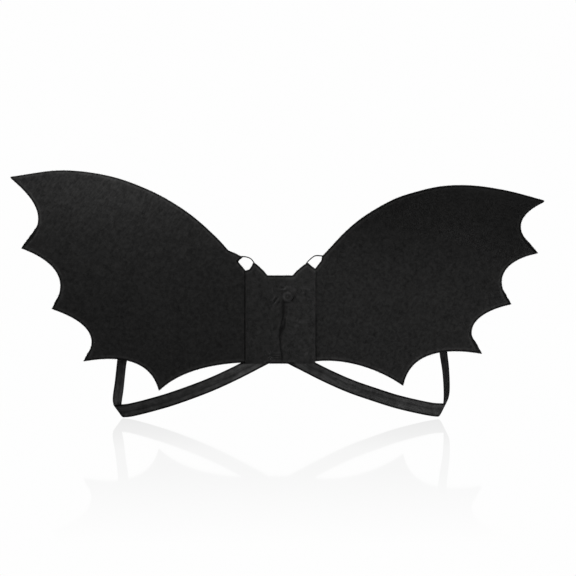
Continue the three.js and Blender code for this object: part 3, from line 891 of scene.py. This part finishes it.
foldLook = {
    "creaseShade": 0.55,
    "deepest": 1.3,
    "lit": (0.58, 0.42, 2.5),  # the pucker's ring: mean, swing and the radians of its highest side
    # height, share of the pucker's radius, width
    "ring": (0.95, 1.0, 0.34),
    "navel": (0.6, 0.0, 0.2),
    "moat": (0.5, 0.45, 0.2),
    "outerMoat": (0.3, 1.6, 0.25),
    "standOut": 0.75,
    # painted highlight on raised wrinkles and painted shade in the dips
    "paintedLightOnRaised": 0.9,
    "paintedShadeInDips": 0.55,
    "darkest": 0.3,
    "pulledFrom": (11.0, 33.0),  # lines pulled from the pucker towards the two corners
    "pulledTo": 14.0,  # above the top edge
    "pulled": (0.45, 6.0),  # height, half width
    "hemBlend": 3.0,
    "hemReach": 3.0,
    "hemPaintedLight": (0.35, 4.0),  # painted light along the hem over the bands: tone, reach
    "seamReach": 1.7,
    "rightPaintedLight": (0.2, -4.0, 9.0),  # right half painted lighter: tone, from, to
}


def bell(share):
    return math.exp(-(share**2))


def ringRise(ring, name):
    height, place, width = foldLook[name]
    return height * bell((ring - place) / width)


def wrinkleRise(x, z):
    # Height of the pucker's rings and of the wrinkles together
    dx, dz = x - pucker[0], z - pucker[1]
    ring = math.hypot(dx, dz) / panelCut["puckerRadius"]
    mean, swing, highest = foldLook["lit"]
    lit = mean + swing * math.cos(math.atan2(dz, dx) - highest)
    raised = lit * ringRise(ring, "ring") + ringRise(ring, "navel")
    raised -= ringRise(ring, "moat") + ringRise(ring, "outerMoat")
    for wx, wz, reach, slant, width, height in wrinkles:
        dx, dz = x - wx, z - wz
        if abs(dx) > 3 * reach + 6 or abs(dz) > 3 * reach + 6:
            continue
        angle = math.radians(slant)
        along = (dx * math.cos(angle) + dz * math.sin(angle)) / reach
        beside = (-dx * math.sin(angle) + dz * math.cos(angle)) / width
        raised += height * math.exp(-(along**4) - beside * beside)
    return raised


def pulledRise(x, z):
    rise, halfWidth = foldLook["pulled"]
    rootX, rootZ = foldLook["pulledFrom"]
    total = 0.0
    for side in (-1, 1):
        corner = Vector((side * panelCut["cornerAcross"] * halfPanel, panelTop + foldLook["pulledTo"]))
        root = Vector((side * rootX, rootZ))
        run = corner - root
        share = min(max((Vector((x, z)) - root).dot(run) / run.length_squared, 0.0), 1.0)
        gap = (Vector((x, z)) - root - run * share).length
        total += rise * bell(gap / halfWidth) * (0.4 + 0.6 * share)
    return total


def panelFold(x, z):
    # How far the outer face is pressed in, in millimetres, and the tone of the felt there: painted shade in
    # the creases, dips and along the seams, painted light on raised wrinkles, the hem over the bands and the
    # right half
    press, tone = 0.0, 1.0
    for line in creaseLines:
        away, strength = nearestOnLine(x, z, line)
        dip = strength * math.exp(-away * away)
        press = max(press, panelCut["creaseDepth"] * dip)
        # painted shade in the crease
        tone *= 1 - foldLook["creaseShade"] * min(dip, foldLook["deepest"])
    raised = wrinkleRise(x, z)
    press -= foldLook["standOut"] * raised + pulledRise(x, z)
    # painted highlight where the felt stands out, painted shade where it is pressed in
    tone *= 1 + foldLook["paintedLightOnRaised" if raised > 0 else "paintedShadeInDips"] * raised
    hem, blend = panelCut["looseHem"], foldLook["hemBlend"]
    overBands = smoothly(abs(x), hem - blend, hem + blend)
    fromBottom = z - panelBottom
    press += panelCut["hemPress"] * overBands * bell(fromBottom / foldLook["hemReach"])
    # painted light along the hem where it lies over a band
    shine, shineReach = foldLook["hemPaintedLight"]
    tone *= 1 + shine * overBands * bell(fromBottom / shineReach)
    # painted shade along the panel's side edges, painted light where the table goes below nothing
    seamTone = readTable(wings["left" if x < 0 else "right"]["panelSeamShade"], z)
    tone *= 1 - seamTone * bell((halfPanel - abs(x)) / foldLook["seamReach"])
    # painted light on the right half
    lift, low, high = foldLook["rightPaintedLight"]
    tone *= 1 + lift * smoothly(x, low, high)
    return press, max(tone, foldLook["darkest"])


def overBand(point):
    return abs(point.x) > panelCut["looseHem"] and point.z < panelBottom + 1.0


def growFelt(name, mesh, thickness, seed, material):
    settings = {
        "Thickness": thickness * mm,
        "Lump Height": feltLook["lumpHeight"] * mm,
        "Lump Size": feltLook["lumpSize"] * mm,
        "Seed": seed,
        "Material": material,
    }
    return grow(name, mesh, feltTree, settings)


def ownUv(column):
    return [(point.x * mm, point.z * mm) for point in column]


def makePanel():
    columns = []
    y = -panelCut["thickness"] / 2
    for share in rowPlaces(panelCut["width"], panelCut["columns"]):
        across = 2 * share - 1
        top = panelEdge(across)
        places = rowPlaces(top - panelBottom, panelCut["rows"])
        columns.append([Vector((across * halfPanel, y, top + (panelBottom - top) * p)) for p in places])
    edges = wallShares(cutDistances(columns))
    fromCut = cutDistances(columns, lambda p: abs(p.x) > halfPanel - 0.1 or overBand(p))
    folds = [[panelFold(point.x, point.z) for point in column] for column in columns]
    presses = [[f[0] * mm * e for f, e in zip(fold, edge)] for fold, edge in zip(folds, edges)]
    tones = [[f[1] for f in fold] for fold in folds]
    values = {"edgeShare": edges, "pressedIn": presses, "fromCut": fromCut, "paintedLightTone": tones}
    mesh = sheetMesh("backPanelCut", columns, [ownUv(column) for column in columns], True, values)
    return growFelt("backPanelFelt", mesh, panelCut["thickness"], 5, panelFelt)


# Wings

wingCut = {
    "span": 360.0,
    "height": 334.0,
    "thickness": 2.5,
    "seamAllowance": 12.0,
    "layerGap": 0.3,
    "tipBlunt": 1.5,
    "edgeFuzz": 0.45,  # the cut edge's nap beyond the cut
    "columnsPerScallop": 34,
    "rootCrowding": 1.6,  # columns closer together towards the notch
    "waistStep": 0.3,
    "rows": 96,
    "ripple": 1.1,  # slow waves over the whole wing
    "curveSteps": 14,  # samples between two points of the leading edge
    "scallopSteps": 40,
    "hemBend": (0.1, 0.9),
    "hemReach": 0.4,  # of the height
    "rippleFrom": (0.1, 0.4),
    "rootSteps": [4.0, 6.5, 9.0, 10.5, 11.5],  # columns on the strip behind the panel
    "seamDip": 1.0,  # where the wing dives under the panel
    "dipPlace": (0.4, 1.6),  # outside the panel's edge, half width
    "toneHeight": 0.4,  # of the height
    "tipFrom": (0.6, 0.95),
    "tipUp": (-0.2, 0.5),
    "brushedUp": (-0.3, 0.8),
    "brushedRight": 0.3,
}
# out is a share of the span from the panel's edge, up of the height, from the shoulder or the panel's bottom
wings = {
    "left": {
        "side": -1,
        "tipLean": 22.0,
        "bendSlope": 14.5,
        "hemForward": 3.0,
        "seed": 2,
        "tone": 0.87,
        "tipShade": 0.06,
        "topPaintedLight": (0.22, 0.35, 1.05),  # painted light towards the top, painted shade where below nothing: by how much, from and to
        "panelSeamShade": [(0.0, 0.0)],  # height and painted shade taken off the tone, on the panel's side of the seam; below nothing it is painted light
        "seamShade": [(0.0, -0.12)],  # the same on the wing's side
        "notchEdge": [(0.034, 0.0415), (0.0125, 0.059), (0.04, 0.075)],
        "leadingEdge": [
            (0.073, 0.09), (0.115, 0.14), (0.216, 0.239), (0.317, 0.313),
            (0.42, 0.37), (0.573, 0.428), (0.777, 0.456), (1, 0.427),
        ],
        # finger, out, up, then the scallop's two handles: along and deep, twice
        "points": [
            (1, None, None, 0.38, 0.31, 0.72, 0.48),
            (0.75, 0.938, 0.519, 0.34, 0.31, 0.74, 0.49),
            (0.59, 0.807, 0.246, 0.36, 0.3, 0.8, 0.54),
            (0.38, 0.675, 0.011, 0.36, 0.22, 0.76, 0.34),
            (0.2, 0.361, -0.1215, 0.28, 0.14, 0.66, 0.1),
            (0, 0, 0.006),
        ],
    },
    "right": {
        "side": 1,
        "tipLean": -57.0,
        "bendSlope": 14.5,
        "hemForward": 10.0,
        "seed": 9,
        "tone": 1.08,
        "tipShade": 0.4,
        "topPaintedLight": (-0.24, 0.1, 0.8),
        "panelSeamShade": [(0.0, 0.06), (25.0, -0.04)],
        "seamShade": [(0.0, 0.12), (25.0, -0.4)],
        "notchEdge": [(0.027, 0.036), (0.029, 0.054)],
        "leadingEdge": [
            (0.044, 0.071), (0.069, 0.1), (0.117, 0.155), (0.172, 0.208), (0.242, 0.259), (0.33, 0.308),
            (0.4, 0.332), (0.505, 0.356), (0.623, 0.358), (0.765, 0.335), (0.924, 0.29),
        ],
        "points": [
            (1, None, None, 0.24, 0.48, 0.58, 0.57),
            (0.74, 0.918, 0.495, 0.3, 0.41, 0.73, 0.57),
            (0.62, 0.816, 0.267, 0.3, 0.33, 0.8, 0.66),
            (0.42, 0.694, 0.045, 0.32, 0.2, 0.76, 0.37),
            (0.23, 0.366, -0.0985, 0.3, 0.11, 0.7, 0.125),
            (0, 0, 0.011),
        ],
    },
}


def wingEdges(wing):
    side = wing["side"]
    shoulder = panelEdge(side)

    def place(out, up, base):
        return Vector((side * (halfPanel + out * wingCut["span"]), 0.0, base + up * wingCut["height"]))

    curved = [place(out, up, shoulder) for out, up in wing["leadingEdge"]]
    straight = [place(0, 0, shoulder)] + [place(out, up, shoulder) for out, up in wing["notchEdge"]]
    leading = straight + joinStretches(throughPoints(curved, [wingCut["curveSteps"]] * (len(curved) - 1)))
    tip = leading[-1]
    corners = [tip] + [place(row[1], row[2], panelBottom) for row in wing["points"][1:]]
    scallops = []
    for start, end, row in zip(corners, corners[1:], wing["points"]):
        along1, deep1, along2, deep2 = row[3:]
        chord = end - start
        inward = Vector((chord.z, 0.0, -chord.x)) * side
        h1 = start + chord * along1 + inward * deep1
        h2 = start + chord * along2 + inward * deep2
        curve = []
        for k in range(wingCut["scallopSteps"] + 1):
            t = k / wingCut["scallopSteps"]
            s = 1 - t
            curve.append(start * s**3 + h1 * (3 * s * s * t) + h2 * (3 * s * t * t) + end * t**3)
        scallops.append(curve)
    fuzz = wingCut["edgeFuzz"] * -side
    leading = [leading[0], *grownLine(leading, -fuzz)[1:]]
    scallops = [grownLine(curve, -fuzz) for curve in scallops]
    for before, after in zip([[leading[-1]], *scallops], scallops):
        shared = (before[-1] + after[0]) / 2
        before[-1], after[0] = shared, shared
    return leading, scallops


def wingDepth(wing, tip):
    slope = math.radians(wing["bendSlope"])
    shoulder = panelEdge(wing["side"])
    middle = wingCut["layerGap"] + wingCut["thickness"] / 2

    def above(x, z):
        return (abs(x) - halfPanel) * math.sin(slope) + (z - shoulder) * math.cos(slope)

    radius = above(tip.x, tip.z) / math.sin(math.radians(abs(wing["tipLean"])))
    way = math.copysign(1.0, wing["tipLean"])

    def depth(x, z):
        height = above(x, z)
        out = (abs(x) - halfPanel) / wingCut["span"]
        if height > 0:
            y = middle + way * (radius - math.sqrt(radius * radius - height * height))
        else:
            swing = smoothly(out, *wingCut["hemBend"])
            down = height / (wingCut["hemReach"] * wingCut["height"])
            y = middle - wing["hemForward"] * swing * down**2
        spot = Vector((x / 95.0, z / 80.0, wing["seed"] * 3.7))
        small = Vector((x / 38.0, z / 34.0, wing["seed"] * 5.1))
        swell = noise.noise(spot) + 0.3 * noise.noise(small)
        return y + wingCut["ripple"] * swell * smoothly(out, *wingCut["rippleFrom"])

    return depth


def wingLines(wing, leading, scallops):
    # Top and bottom of every column, from the strip behind the panel to the tip
    leadAt, _ = byLength(leading)
    side, perScallop = wing["side"], wingCut["columnsPerScallop"]
    tabX = side * (halfPanel - wingCut["seamAllowance"])
    rootTop, rootBottom = leading[0], scallops[-1][-1]
    lines = []
    for step in [*rimSteps, *wingCut["rootSteps"]]:
        x = tabX + side * step
        lines.append((Vector((x, 0, rootTop.z)), Vector((x, 0, rootBottom.z))))
    for i in range(len(scallops) - 1, -1, -1):
        scallopAt, length = byLength(scallops[i])
        fromShare, toShare = wing["points"][i + 1][0], wing["points"][i][0]
        blunt = wingCut["tipBlunt"] / length if i == 0 else 0.0
        atRoot = i == len(scallops) - 1
        crowding = wingCut["rootCrowding"] if atRoot else 1.0
        for k in range(0 if atRoot else 1, perScallop + 1):
            share = min((k / perScallop) ** crowding, 1 - blunt)
            lines.append((leadAt(fromShare + (toShare - fromShare) * share), scallopAt(1 - share)))
    return lines


def wingColumns(wing, lines, depth):
    columns = []
    waist = lines[0][0]
    for top, bottom in lines:
        places = rowPlaces(max((bottom - top).length, 1.0), wingCut["rows"])
        if abs(top.x) >= abs(waist.x):
            waist = top
            route, _ = byLength([top, bottom])
        else:
            # under the barb every column bends round the notch, each a little further out
            waist = waist + Vector((wing["side"] * wingCut["waistStep"], 0, 0))
            route, _ = byLength([top, waist, bottom])
        flats = [route(share) for share in places]
        columns.append([Vector((flat.x, depth(flat.x, flat.z), flat.z)) for flat in flats])
    return columns


def wingTones(wing, columns, dips):
    # Tone of the felt, with painted light and shade, and how strongly its nap is brushed
    shoulder, topHeight = panelEdge(wing["side"]), wingCut["height"] * wingCut["toneHeight"]
    rise, low, high = wing["topPaintedLight"]
    tones, brushed = [], []
    for column, dip in zip(columns, dips):
        ups = [(p.z - shoulder) / topHeight for p in column]
        toned = []
        for p, up, d in zip(column, ups, dip):
            # painted light or painted shade towards the top
            lift = rise * smoothly(up, low, high)
            far = smoothly((abs(p.x) - halfPanel) / wingCut["span"], *wingCut["tipFrom"])
            shade = wing["tipShade"] * far * smoothly(up, *wingCut["tipUp"])
            seam = 1 - d * readTable(wing["seamShade"], p.z)
            # painted light: each wing's own overall tone, the right one lighter, less painted shade at the
            # tip and along the seam
            toned.append(seam * (wing["tone"] + lift - shade))
        tones.append(toned)
        if wing["side"] < 0:
            brushed.append([smoothly(up, *wingCut["brushedUp"]) for up in ups])
        else:
            brushed.append([wingCut["brushedRight"]] * len(ups))
    return tones, brushed


def makeWing(name, wing):
    leading, scallops = wingEdges(wing)
    columns = wingColumns(wing, wingLines(wing, leading, scallops), wingDepth(wing, leading[-1]))
    fromCut = cutDistances(columns)
    edges = wallShares(fromCut)
    place, reach = wingCut["dipPlace"]
    dips = [[bell((abs(p.x) - halfPanel - place) / reach) for p in column] for column in columns]
    deep = wingCut["seamDip"] * mm
    presses = [[deep * d * e for d, e in zip(dip, edge)] for dip, edge in zip(dips, edges)]
    tones, brushed = wingTones(wing, columns, dips)
    values = {"edgeShare": edges, "pressedIn": presses, "fromCut": fromCut, "paintedLightTone": tones}
    values["brushed"] = brushed
    mesh = sheetMesh(name + "Cut", columns, [ownUv(column) for column in columns], wing["side"] > 0, values)
    return growFelt(name, mesh, wingCut["thickness"], wing["seed"], wingFelt)


panelPiece = makePanel()
leftWing = makeWing("leftWingFelt", wings["left"])
rightWing = makeWing("rightWingFelt", wings["right"])


# Elastic shoulder loops

loopCut = {
    "width": 19.0,
    "shownWidth": 20.6,  # with its frayed selvedges
    "thickness": 1.6,
    "seamLength": 18.0,
    "rampLength": 10.0,
    "reach": 200.0,
    "drop": 82.0,
    "depth": 150.0,
    "turnStandOff": 1.35,  # half widths
    "turnSteps": 5,
    "columns": 60,
    "sectionStep": 2.4,
    "ribs": 11,
    "ribDepth": 0.22,
    "edgeRound": 0.6,
    "closeColumns": 4,  # crowded towards each edge
    "endCap": 0.02,
}
# Routes from the panel's corner to its bottom edge: out, up, back, then the direction across the band
loops = {
    "left": {
        "side": -1,
        "topEnd": (0.17, 0.69),
        "bottomEnd": (0.15, 0.126),
        # lower stretch: place and tilt
        "tilt": [(0.07, 0.2), (0.3, 0.16), (0.6, 0.0), (0.86, -0.1), (0.93, -0.1), (0.97, 0.0)],
        "turnOut": 1.12,
        "pullIn": 0.7,
        # painted light along the band, by share of the reach: lighter near the panel
        "tone": [(0.0, 2.15), (0.2, 2.0), (0.36, 1.55), (0.5, 1.4), (0.7, 1.3), (0.95, 1.3), (1.0, 1.5)],
        "route": [
            (-0.043, 1.018, 0.098, (0, -1, 0)),
            (-0.024, 1.028, 0.098, (0, -1, 0)),
            (0, 1.034, 0.1, (0, -1, 0)),
            (0.036, 1.036, 0.105, (0, -1, 0)),
            (0.16, 1.035, 0.17, (0.1, -0.98, 0.15)),
            (0.39, 1, 0.39, (0.35, -0.86, 0.38)),
            (0.64, 0.89, 0.68, (0.5, -0.68, 0.52)),
            (0.86, 0.72, 0.91, (0.58, -0.56, 0.6)),
            (0.965, 0.53, 1.01, (0.58, -0.52, 0.62)),
            (0.99, 0.36, 0.98, (0.56, -0.52, 0.64)),
            (0.994, 0.19, 0.68, (0.56, -0.5, 0.66)),
            (0.993, 0.09, 0.46, (0.58, -0.3, 0.75)),
            (0.984, 0.046, 0.365, (0.56, 0, 0.83)),
            (0.972, 0.034, 0.317, (0.6, 0, 0.8)),
            (0.938, 0.036, 0.293, (0.45, 0, 0.89)),
            (0.88, 0.042, 0.285, (0.15, 0, 0.99)),
            (0.625, 0.1, 0.22, (0.31, 0, 0.95)),
            (0.44, 0.154, 0.173, (0.34, 0, 0.94)),
            (0.255, 0.216, 0.127, (0.39, 0, 0.92)),
            (0.075, 0.288, 0.067, (0.43, 0, 0.9)),
        ],
    },
    "right": {
        "side": 1,
        "topEnd": (0.23, 0.726),
        "bottomEnd": (0.19, 0.09),
        "tilt": [
            (0.08, 0.1), (0.3, 0.04), (0.45, 0.0), (0.6, 0.04), (0.86, 0.12), (0.93, 0.12), (0.97, 0.0),
        ],
        "turnOut": 1.08,
        "pullIn": 0.0,
        # painted light along the band, by share of the reach
        "tone": [
            (0.0, 1.05), (0.12, 1.1), (0.2, 1.2), (0.35, 1.1), (0.5, 1.2), (0.8, 1.35), (0.94, 1.2),
            (0.98, 1.0),
        ],
        "route": [
            (-0.041, 1.015, 0.098, (0, -1, 0)),
            (-0.03, 1.024, 0.098, (0, -1, 0)),
            (-0.007, 1.038, 0.1, (0, -1, 0)),
            (0.012, 1.042, 0.1, (0, -1, 0)),
            (0.052, 1.04, 0.11, (0, -1, 0)),
            (0.18, 1.038, 0.18, (0.1, -0.98, 0.15)),
            (0.4, 1, 0.4, (0.33, -0.86, 0.4)),
            (0.66, 0.89, 0.7, (0.45, -0.7, 0.55)),
            (0.88, 0.71, 0.9, (0.46, -0.56, 0.68)),
            (0.995, 0.53, 0.96, (0.42, -0.54, 0.74)),
            (1.017, 0.385, 0.9, (0.4, -0.52, 0.76)),
            (1.025, 0.27, 0.75, (0.4, -0.52, 0.76)),
            (1.015, 0.13, 0.5, (0.4, -0.48, 0.79)),
            (1.001, 0.085, 0.41, (0.42, -0.24, 0.87)),
            (0.98, 0.053, 0.34, (0.45, 0, 0.89)),
            (0.967, 0.043, 0.3, (0.47, 0, 0.88)),
            (0.935, 0.043, 0.28, (0.35, 0, 0.94)),
            (0.88, 0.048, 0.27, (0.12, 0, 0.99)),
            (0.63, 0.097, 0.213, (0.28, 0, 0.96)),
            (0.444, 0.148, 0.167, (0.33, 0, 0.94)),
            (0.264, 0.203, 0.113, (0.38, 0, 0.92)),
            (0.084, 0.272, 0.06, (0.42, 0, 0.9)),
        ],
    },
}

onPanelY = wingCut["layerGap"] + loopCut["thickness"] / 2
onWingY = 2 * wingCut["layerGap"] + wingCut["thickness"] + loopCut["thickness"] / 2
loopLow = panelBottom - loopCut["drop"]
loopHeight = panelTop + panelCut["cornerRise"] - loopLow


def loopEnd(side, end):
    across, up = end
    return Vector((side * across * halfPanel, onPanelY, panelBottom + up * panelCut["height"]))


def loopStations(loop):
    side, seamLength = loop["side"], loopCut["seamLength"]
    end = loopEnd(side, loop["topEnd"])
    cornerX = side * panelCut["cornerAcross"] * halfPanel
    corner = Vector((cornerX, onPanelY, panelTop + panelCut["cornerRise"]))
    along = (corner - end).normalized()
    length = (corner - end).length
    flat = along.cross(Vector((0, 1, 0))) * -side
    stations = [(end, flat), (end + along * seamLength / 2, flat)]
    for i in range(loopCut["turnSteps"] + 1):
        share = i / loopCut["turnSteps"]
        turn = math.pi / 2 * smoothly(share, 0.0, 1.0)
        at = end + along * (seamLength + (length - seamLength) * share)
        at.y += loopCut["turnStandOff"] * loopCut["width"] / 2 * math.sin(turn)
        stations.append((at, flat * math.cos(turn) + Vector((0, -math.sin(turn), 0))))
    for out, up, back, (x, y, z) in loop["route"]:
        outward = side * (halfPanel + out * loopCut["reach"])
        at = Vector((outward, back * loopCut["depth"], loopLow + up * loopHeight))
        tilt = readTable(loop["tilt"], out) if z > 0.7 and up < 0.3 else 0.0
        if z < 0.7 and back > 0.4:
            x *= loop["turnOut"]
            at.x -= side * loop["pullIn"]
        stations.append((at, Vector((side * x, y + tilt, z))))
    last = loopEnd(side, loop["bottomEnd"])
    along = stations[-1][0] - last
    along.y = 0
    along.normalize()
    across = Vector((-along.z, 0, along.x)) * side
    seam = last + along * seamLength
    overWing = seam + along * loopCut["rampLength"]
    overWing.y = onWingY
    for at in (overWing, seam, last + along * seamLength / 2, last):
        stations.append((at, across))
    return stations


def makeLoop(name, loop):
    stations = loopStations(loop)
    places = [at for at, _ in stations]
    steps = [max(3, round((b - a).length / loopCut["sectionStep"])) for a, b in zip(places, places[1:])]
    line = joinStretches(throughPoints(places, steps))
    turns = joinStretches(throughPoints([across.normalized() for _, across in stations], steps))
    last, wide = len(line) - 1, loopCut["columns"]
    columns, uv, edges, acrossShares, tones = [], [], [], [], []
    travelled = 0.0
    sections = [(line[0], line[0], turns[0], 0.0)]
    for i in range(last + 1):
        before, after = line[max(i - 1, 0)], line[min(i + 1, last)]
        sections.append((line[i], (after - before).normalized(), turns[i].normalized(), 1.0))
    sections[0] = (*sections[1][:3], 0.0)
    sections.append((*sections[-1][:3], 0.0))
    for i, (at, along, across, endShare) in enumerate(sections):
        travelled += (at - sections[max(i - 1, 0)][0]).length
        cap = loopCut["endCap"]
        at = at + along * (-cap if i == 0 else cap if i == len(sections) - 1 else 0.0)
        half = across * (loopCut["shownWidth"] / 2 / max(along.cross(across).length, 0.3))
        column, columnUv, columnEdge, columnShare = [], [], [], []
        for j in range(wide + 1):
            crowded = min(j, wide - j) < loopCut["closeColumns"]
            share = -math.cos(math.pi * j / wide) if crowded else -1 + 2 * j / wide
            share = max(-1.0, min(1.0, share))
            column.append(at + half * share)
            columnUv.append((travelled * mm, (1 - loop["side"] * share) / 2))
            fromEdge = (1 - abs(share)) * loopCut["width"] / 2
            inward = min(fromEdge / loopCut["edgeRound"], 1.0)
            columnEdge.append(endShare * math.sqrt(max(1 - (1 - inward) ** 2, 0.0)))
            columnShare.append(share / 2)
        columns.append(column)
        uv.append(columnUv)
        edges.append(columnEdge)
        acrossShares.append(columnShare)
        # painted light along the band
        tones.append([readTable(loop["tone"], (abs(at.x) - halfPanel) / loopCut["reach"])] * (wide + 1))
    values = {"edgeShare": edges, "acrossShare": acrossShares, "bandPaintedLight": tones}
    mesh = sheetMesh(name + "Cut", columns, uv, False, values, "alongBand")
    settings = {
        "Thickness": loopCut["thickness"] * mm,
        "Rib Count": loopCut["ribs"],
        "Rib Depth": loopCut["ribDepth"] * mm,
        "Material": blackElastic,
    }
    return grow(name, mesh, bandTree, settings)


leftLoop = makeLoop("leftElasticLoop", loops["left"])
rightLoop = makeLoop("rightElasticLoop", loops["right"])


# Stitching

sewing = {
    "pitch": 3.4,
    "stitch": 2.7,
    "threadRadius": 0.24,
    "lift": 0.35,
    "boxInset": 2.6,  # from the band's edges to the box of stitches
    "boxEnd": 1.0,
    "sunk": 0.1,  # the outer rows' depth in the nap
    "outerRow": (5.0, 4.0),  # from the panel's top and bottom edges
    "innerRow": (4.0, 14.0),
}


def seamMesh(name, lines):
    mesh = bpy.data.meshes.new(name)
    points, edges = [], []
    for line in lines:
        start = len(points)
        points += [point * mm for point in line]
        edges += [(start + k, start + k + 1) for k in range(len(line) - 1)]
    mesh.from_pydata(points, edges, [])
    return mesh


def boxLines(side, end, towards, y):
    # A box with a cross, sewn through a band's flat end
    at = loopEnd(side, end)
    along = towards - at
    along.y = 0
    along.normalize()
    across = Vector((-along.z, 0, along.x))
    inset = sewing["boxInset"]
    near, far = inset, loopCut["seamLength"] - sewing["boxEnd"]
    half = loopCut["width"] / 2 - inset
    shape = ((near, -half), (near, half), (far, half), (far, -half))
    corners = [at + along * a + across * b for a, b in shape]
    for corner in corners:
        corner.y = y
    ring = [corners[0], corners[1], corners[2], corners[3], corners[0]]
    return [[a, b] for a, b in zip(ring, ring[1:])] + [[corners[0], corners[2]], [corners[1], corners[3]]]


def makeStitches():
    front = -panelCut["thickness"] + sewing["sunk"]
    back = wingCut["layerGap"] + wingCut["thickness"]
    bandBack = wingCut["layerGap"] + loopCut["thickness"]
    (outerTop, outerBottom), (innerTop, innerBottom) = sewing["outerRow"], sewing["innerRow"]
    frontLines, backLines = [], []
    for side in (-1, 1):
        x = side * (halfPanel - panelCut["seamInset"])
        top = panelEdge(x / halfPanel) - outerTop
        frontLines.append([Vector((x, front, top)), Vector((x, front, panelBottom + outerBottom))])
        innerEnds = (panelEdge(side) - innerTop, panelBottom + innerBottom)
        backLines.append([Vector((x, back, z)) for z in innerEnds])
    for loop in loops.values():
        side = loop["side"]
        corner = Vector((side * panelCut["cornerAcross"] * halfPanel, 0, panelTop + panelCut["cornerRise"]))
        last = loopStations(loop)[-5][0]
        for end, towards in ((loop["topEnd"], corner), (loop["bottomEnd"], last)):
            frontLines += boxLines(side, end, towards, front)
            backLines += boxLines(side, end, towards, bandBack)
    settings = {
        "Pitch": sewing["pitch"] * mm,
        "Stitch Length": sewing["stitch"] * mm,
        "Thread Radius": sewing["threadRadius"] * mm,
        "Lift": sewing["lift"] * mm,
        "Material": blackThread,
    }
    outward, inward = {"Face Direction": (0, -1, 0)}, {"Face Direction": (0, 1, 0)}
    outer = grow("outerStitches", seamMesh("outerSeams", frontLines), stitchTree, {**settings, **outward})
    inner = grow("innerStitches", seamMesh("innerSeams", backLines), stitchTree, {**settings, **inward})
    return outer, inner


outerStitches, innerStitches = makeStitches()


# Stray fibres on the nap and along the cut edges


def makeFibres(name, cloth, values):
    settings = {"Fibre Radius": 0.05 * mm, "Material": strayNap, **values}
    return grow(name, cloth.data.copy(), fibreTree, settings)


fibrePieces = []
napped = [(leftWing, "leftWing", 3), (rightWing, "rightWing", 7), (panelPiece, "backPanel", 13)]
for cloth, label, seed in napped:
    lying = {"Density": 9000.0, "Length": 4.0 * mm, "Lift": 0.35 * mm, "Rim Reach": 999.0, "Seed": seed}
    rim = {"Density": 520000.0, "Length": 1.3 * mm, "Lift": 0.6 * mm, "Rim Reach": 0.8, "Seed": seed + 1}
    fibrePieces.append(makeFibres(label + "LyingFibres", cloth, lying))
    fibrePieces.append(makeFibres(label + "RimFibres", cloth, rim))

# Pale tufts caught on the felt and on the right band: x, y, z and size
tufts = [(-17.5, -2.7, -53.5, 3.0), (-14.0, -2.7, -58.0, 4.0), (37.3, 0.1, -67.4, 3.4)]


def makeTufts():
    mesh = bpy.data.meshes.new("tuftPatches")
    corners, faces = [], []
    square = ((-0.5, -0.5), (0.5, -0.5), (0.5, 0.5), (-0.5, 0.5))
    for x, y, z, size in tufts:
        first = len(corners)
        corners += [Vector((x + size * a, y, z + size * b)) * mm for a, b in square]
        faces.append((first, first + 1, first + 2, first + 3))
    mesh.from_pydata(corners, [], faces)
    values = {"Density": 1.6e6, "Length": 1.8 * mm, "Lift": 0.5 * mm, "Rim Reach": 1.0, "Seed": 21}
    return grow("paleTufts", mesh, fibreTree, {"Fibre Radius": 0.08 * mm, "Material": paleLint, **values})


fibrePieces.append(makeTufts())


# What each piece rides on and stands for

standsFor = {
    "backPanelFelt": "back_panel",
    "leftWingFelt": "wing_left",
    "rightWingFelt": "wing_right",
    "leftElasticLoop": "strap_left",
    "rightElasticLoop": "strap_right",
}
for piece in (panelPiece, leftWing, rightWing):
    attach(piece, "root")
    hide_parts(standsFor[piece.name])
for piece in (leftLoop, rightLoop):
    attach(piece, "root")
    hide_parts(standsFor[piece.name])
for piece in (outerStitches, innerStitches):
    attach(piece, "root")
for piece in fibrePieces:
    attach(piece, "root")

print("pieces placed")
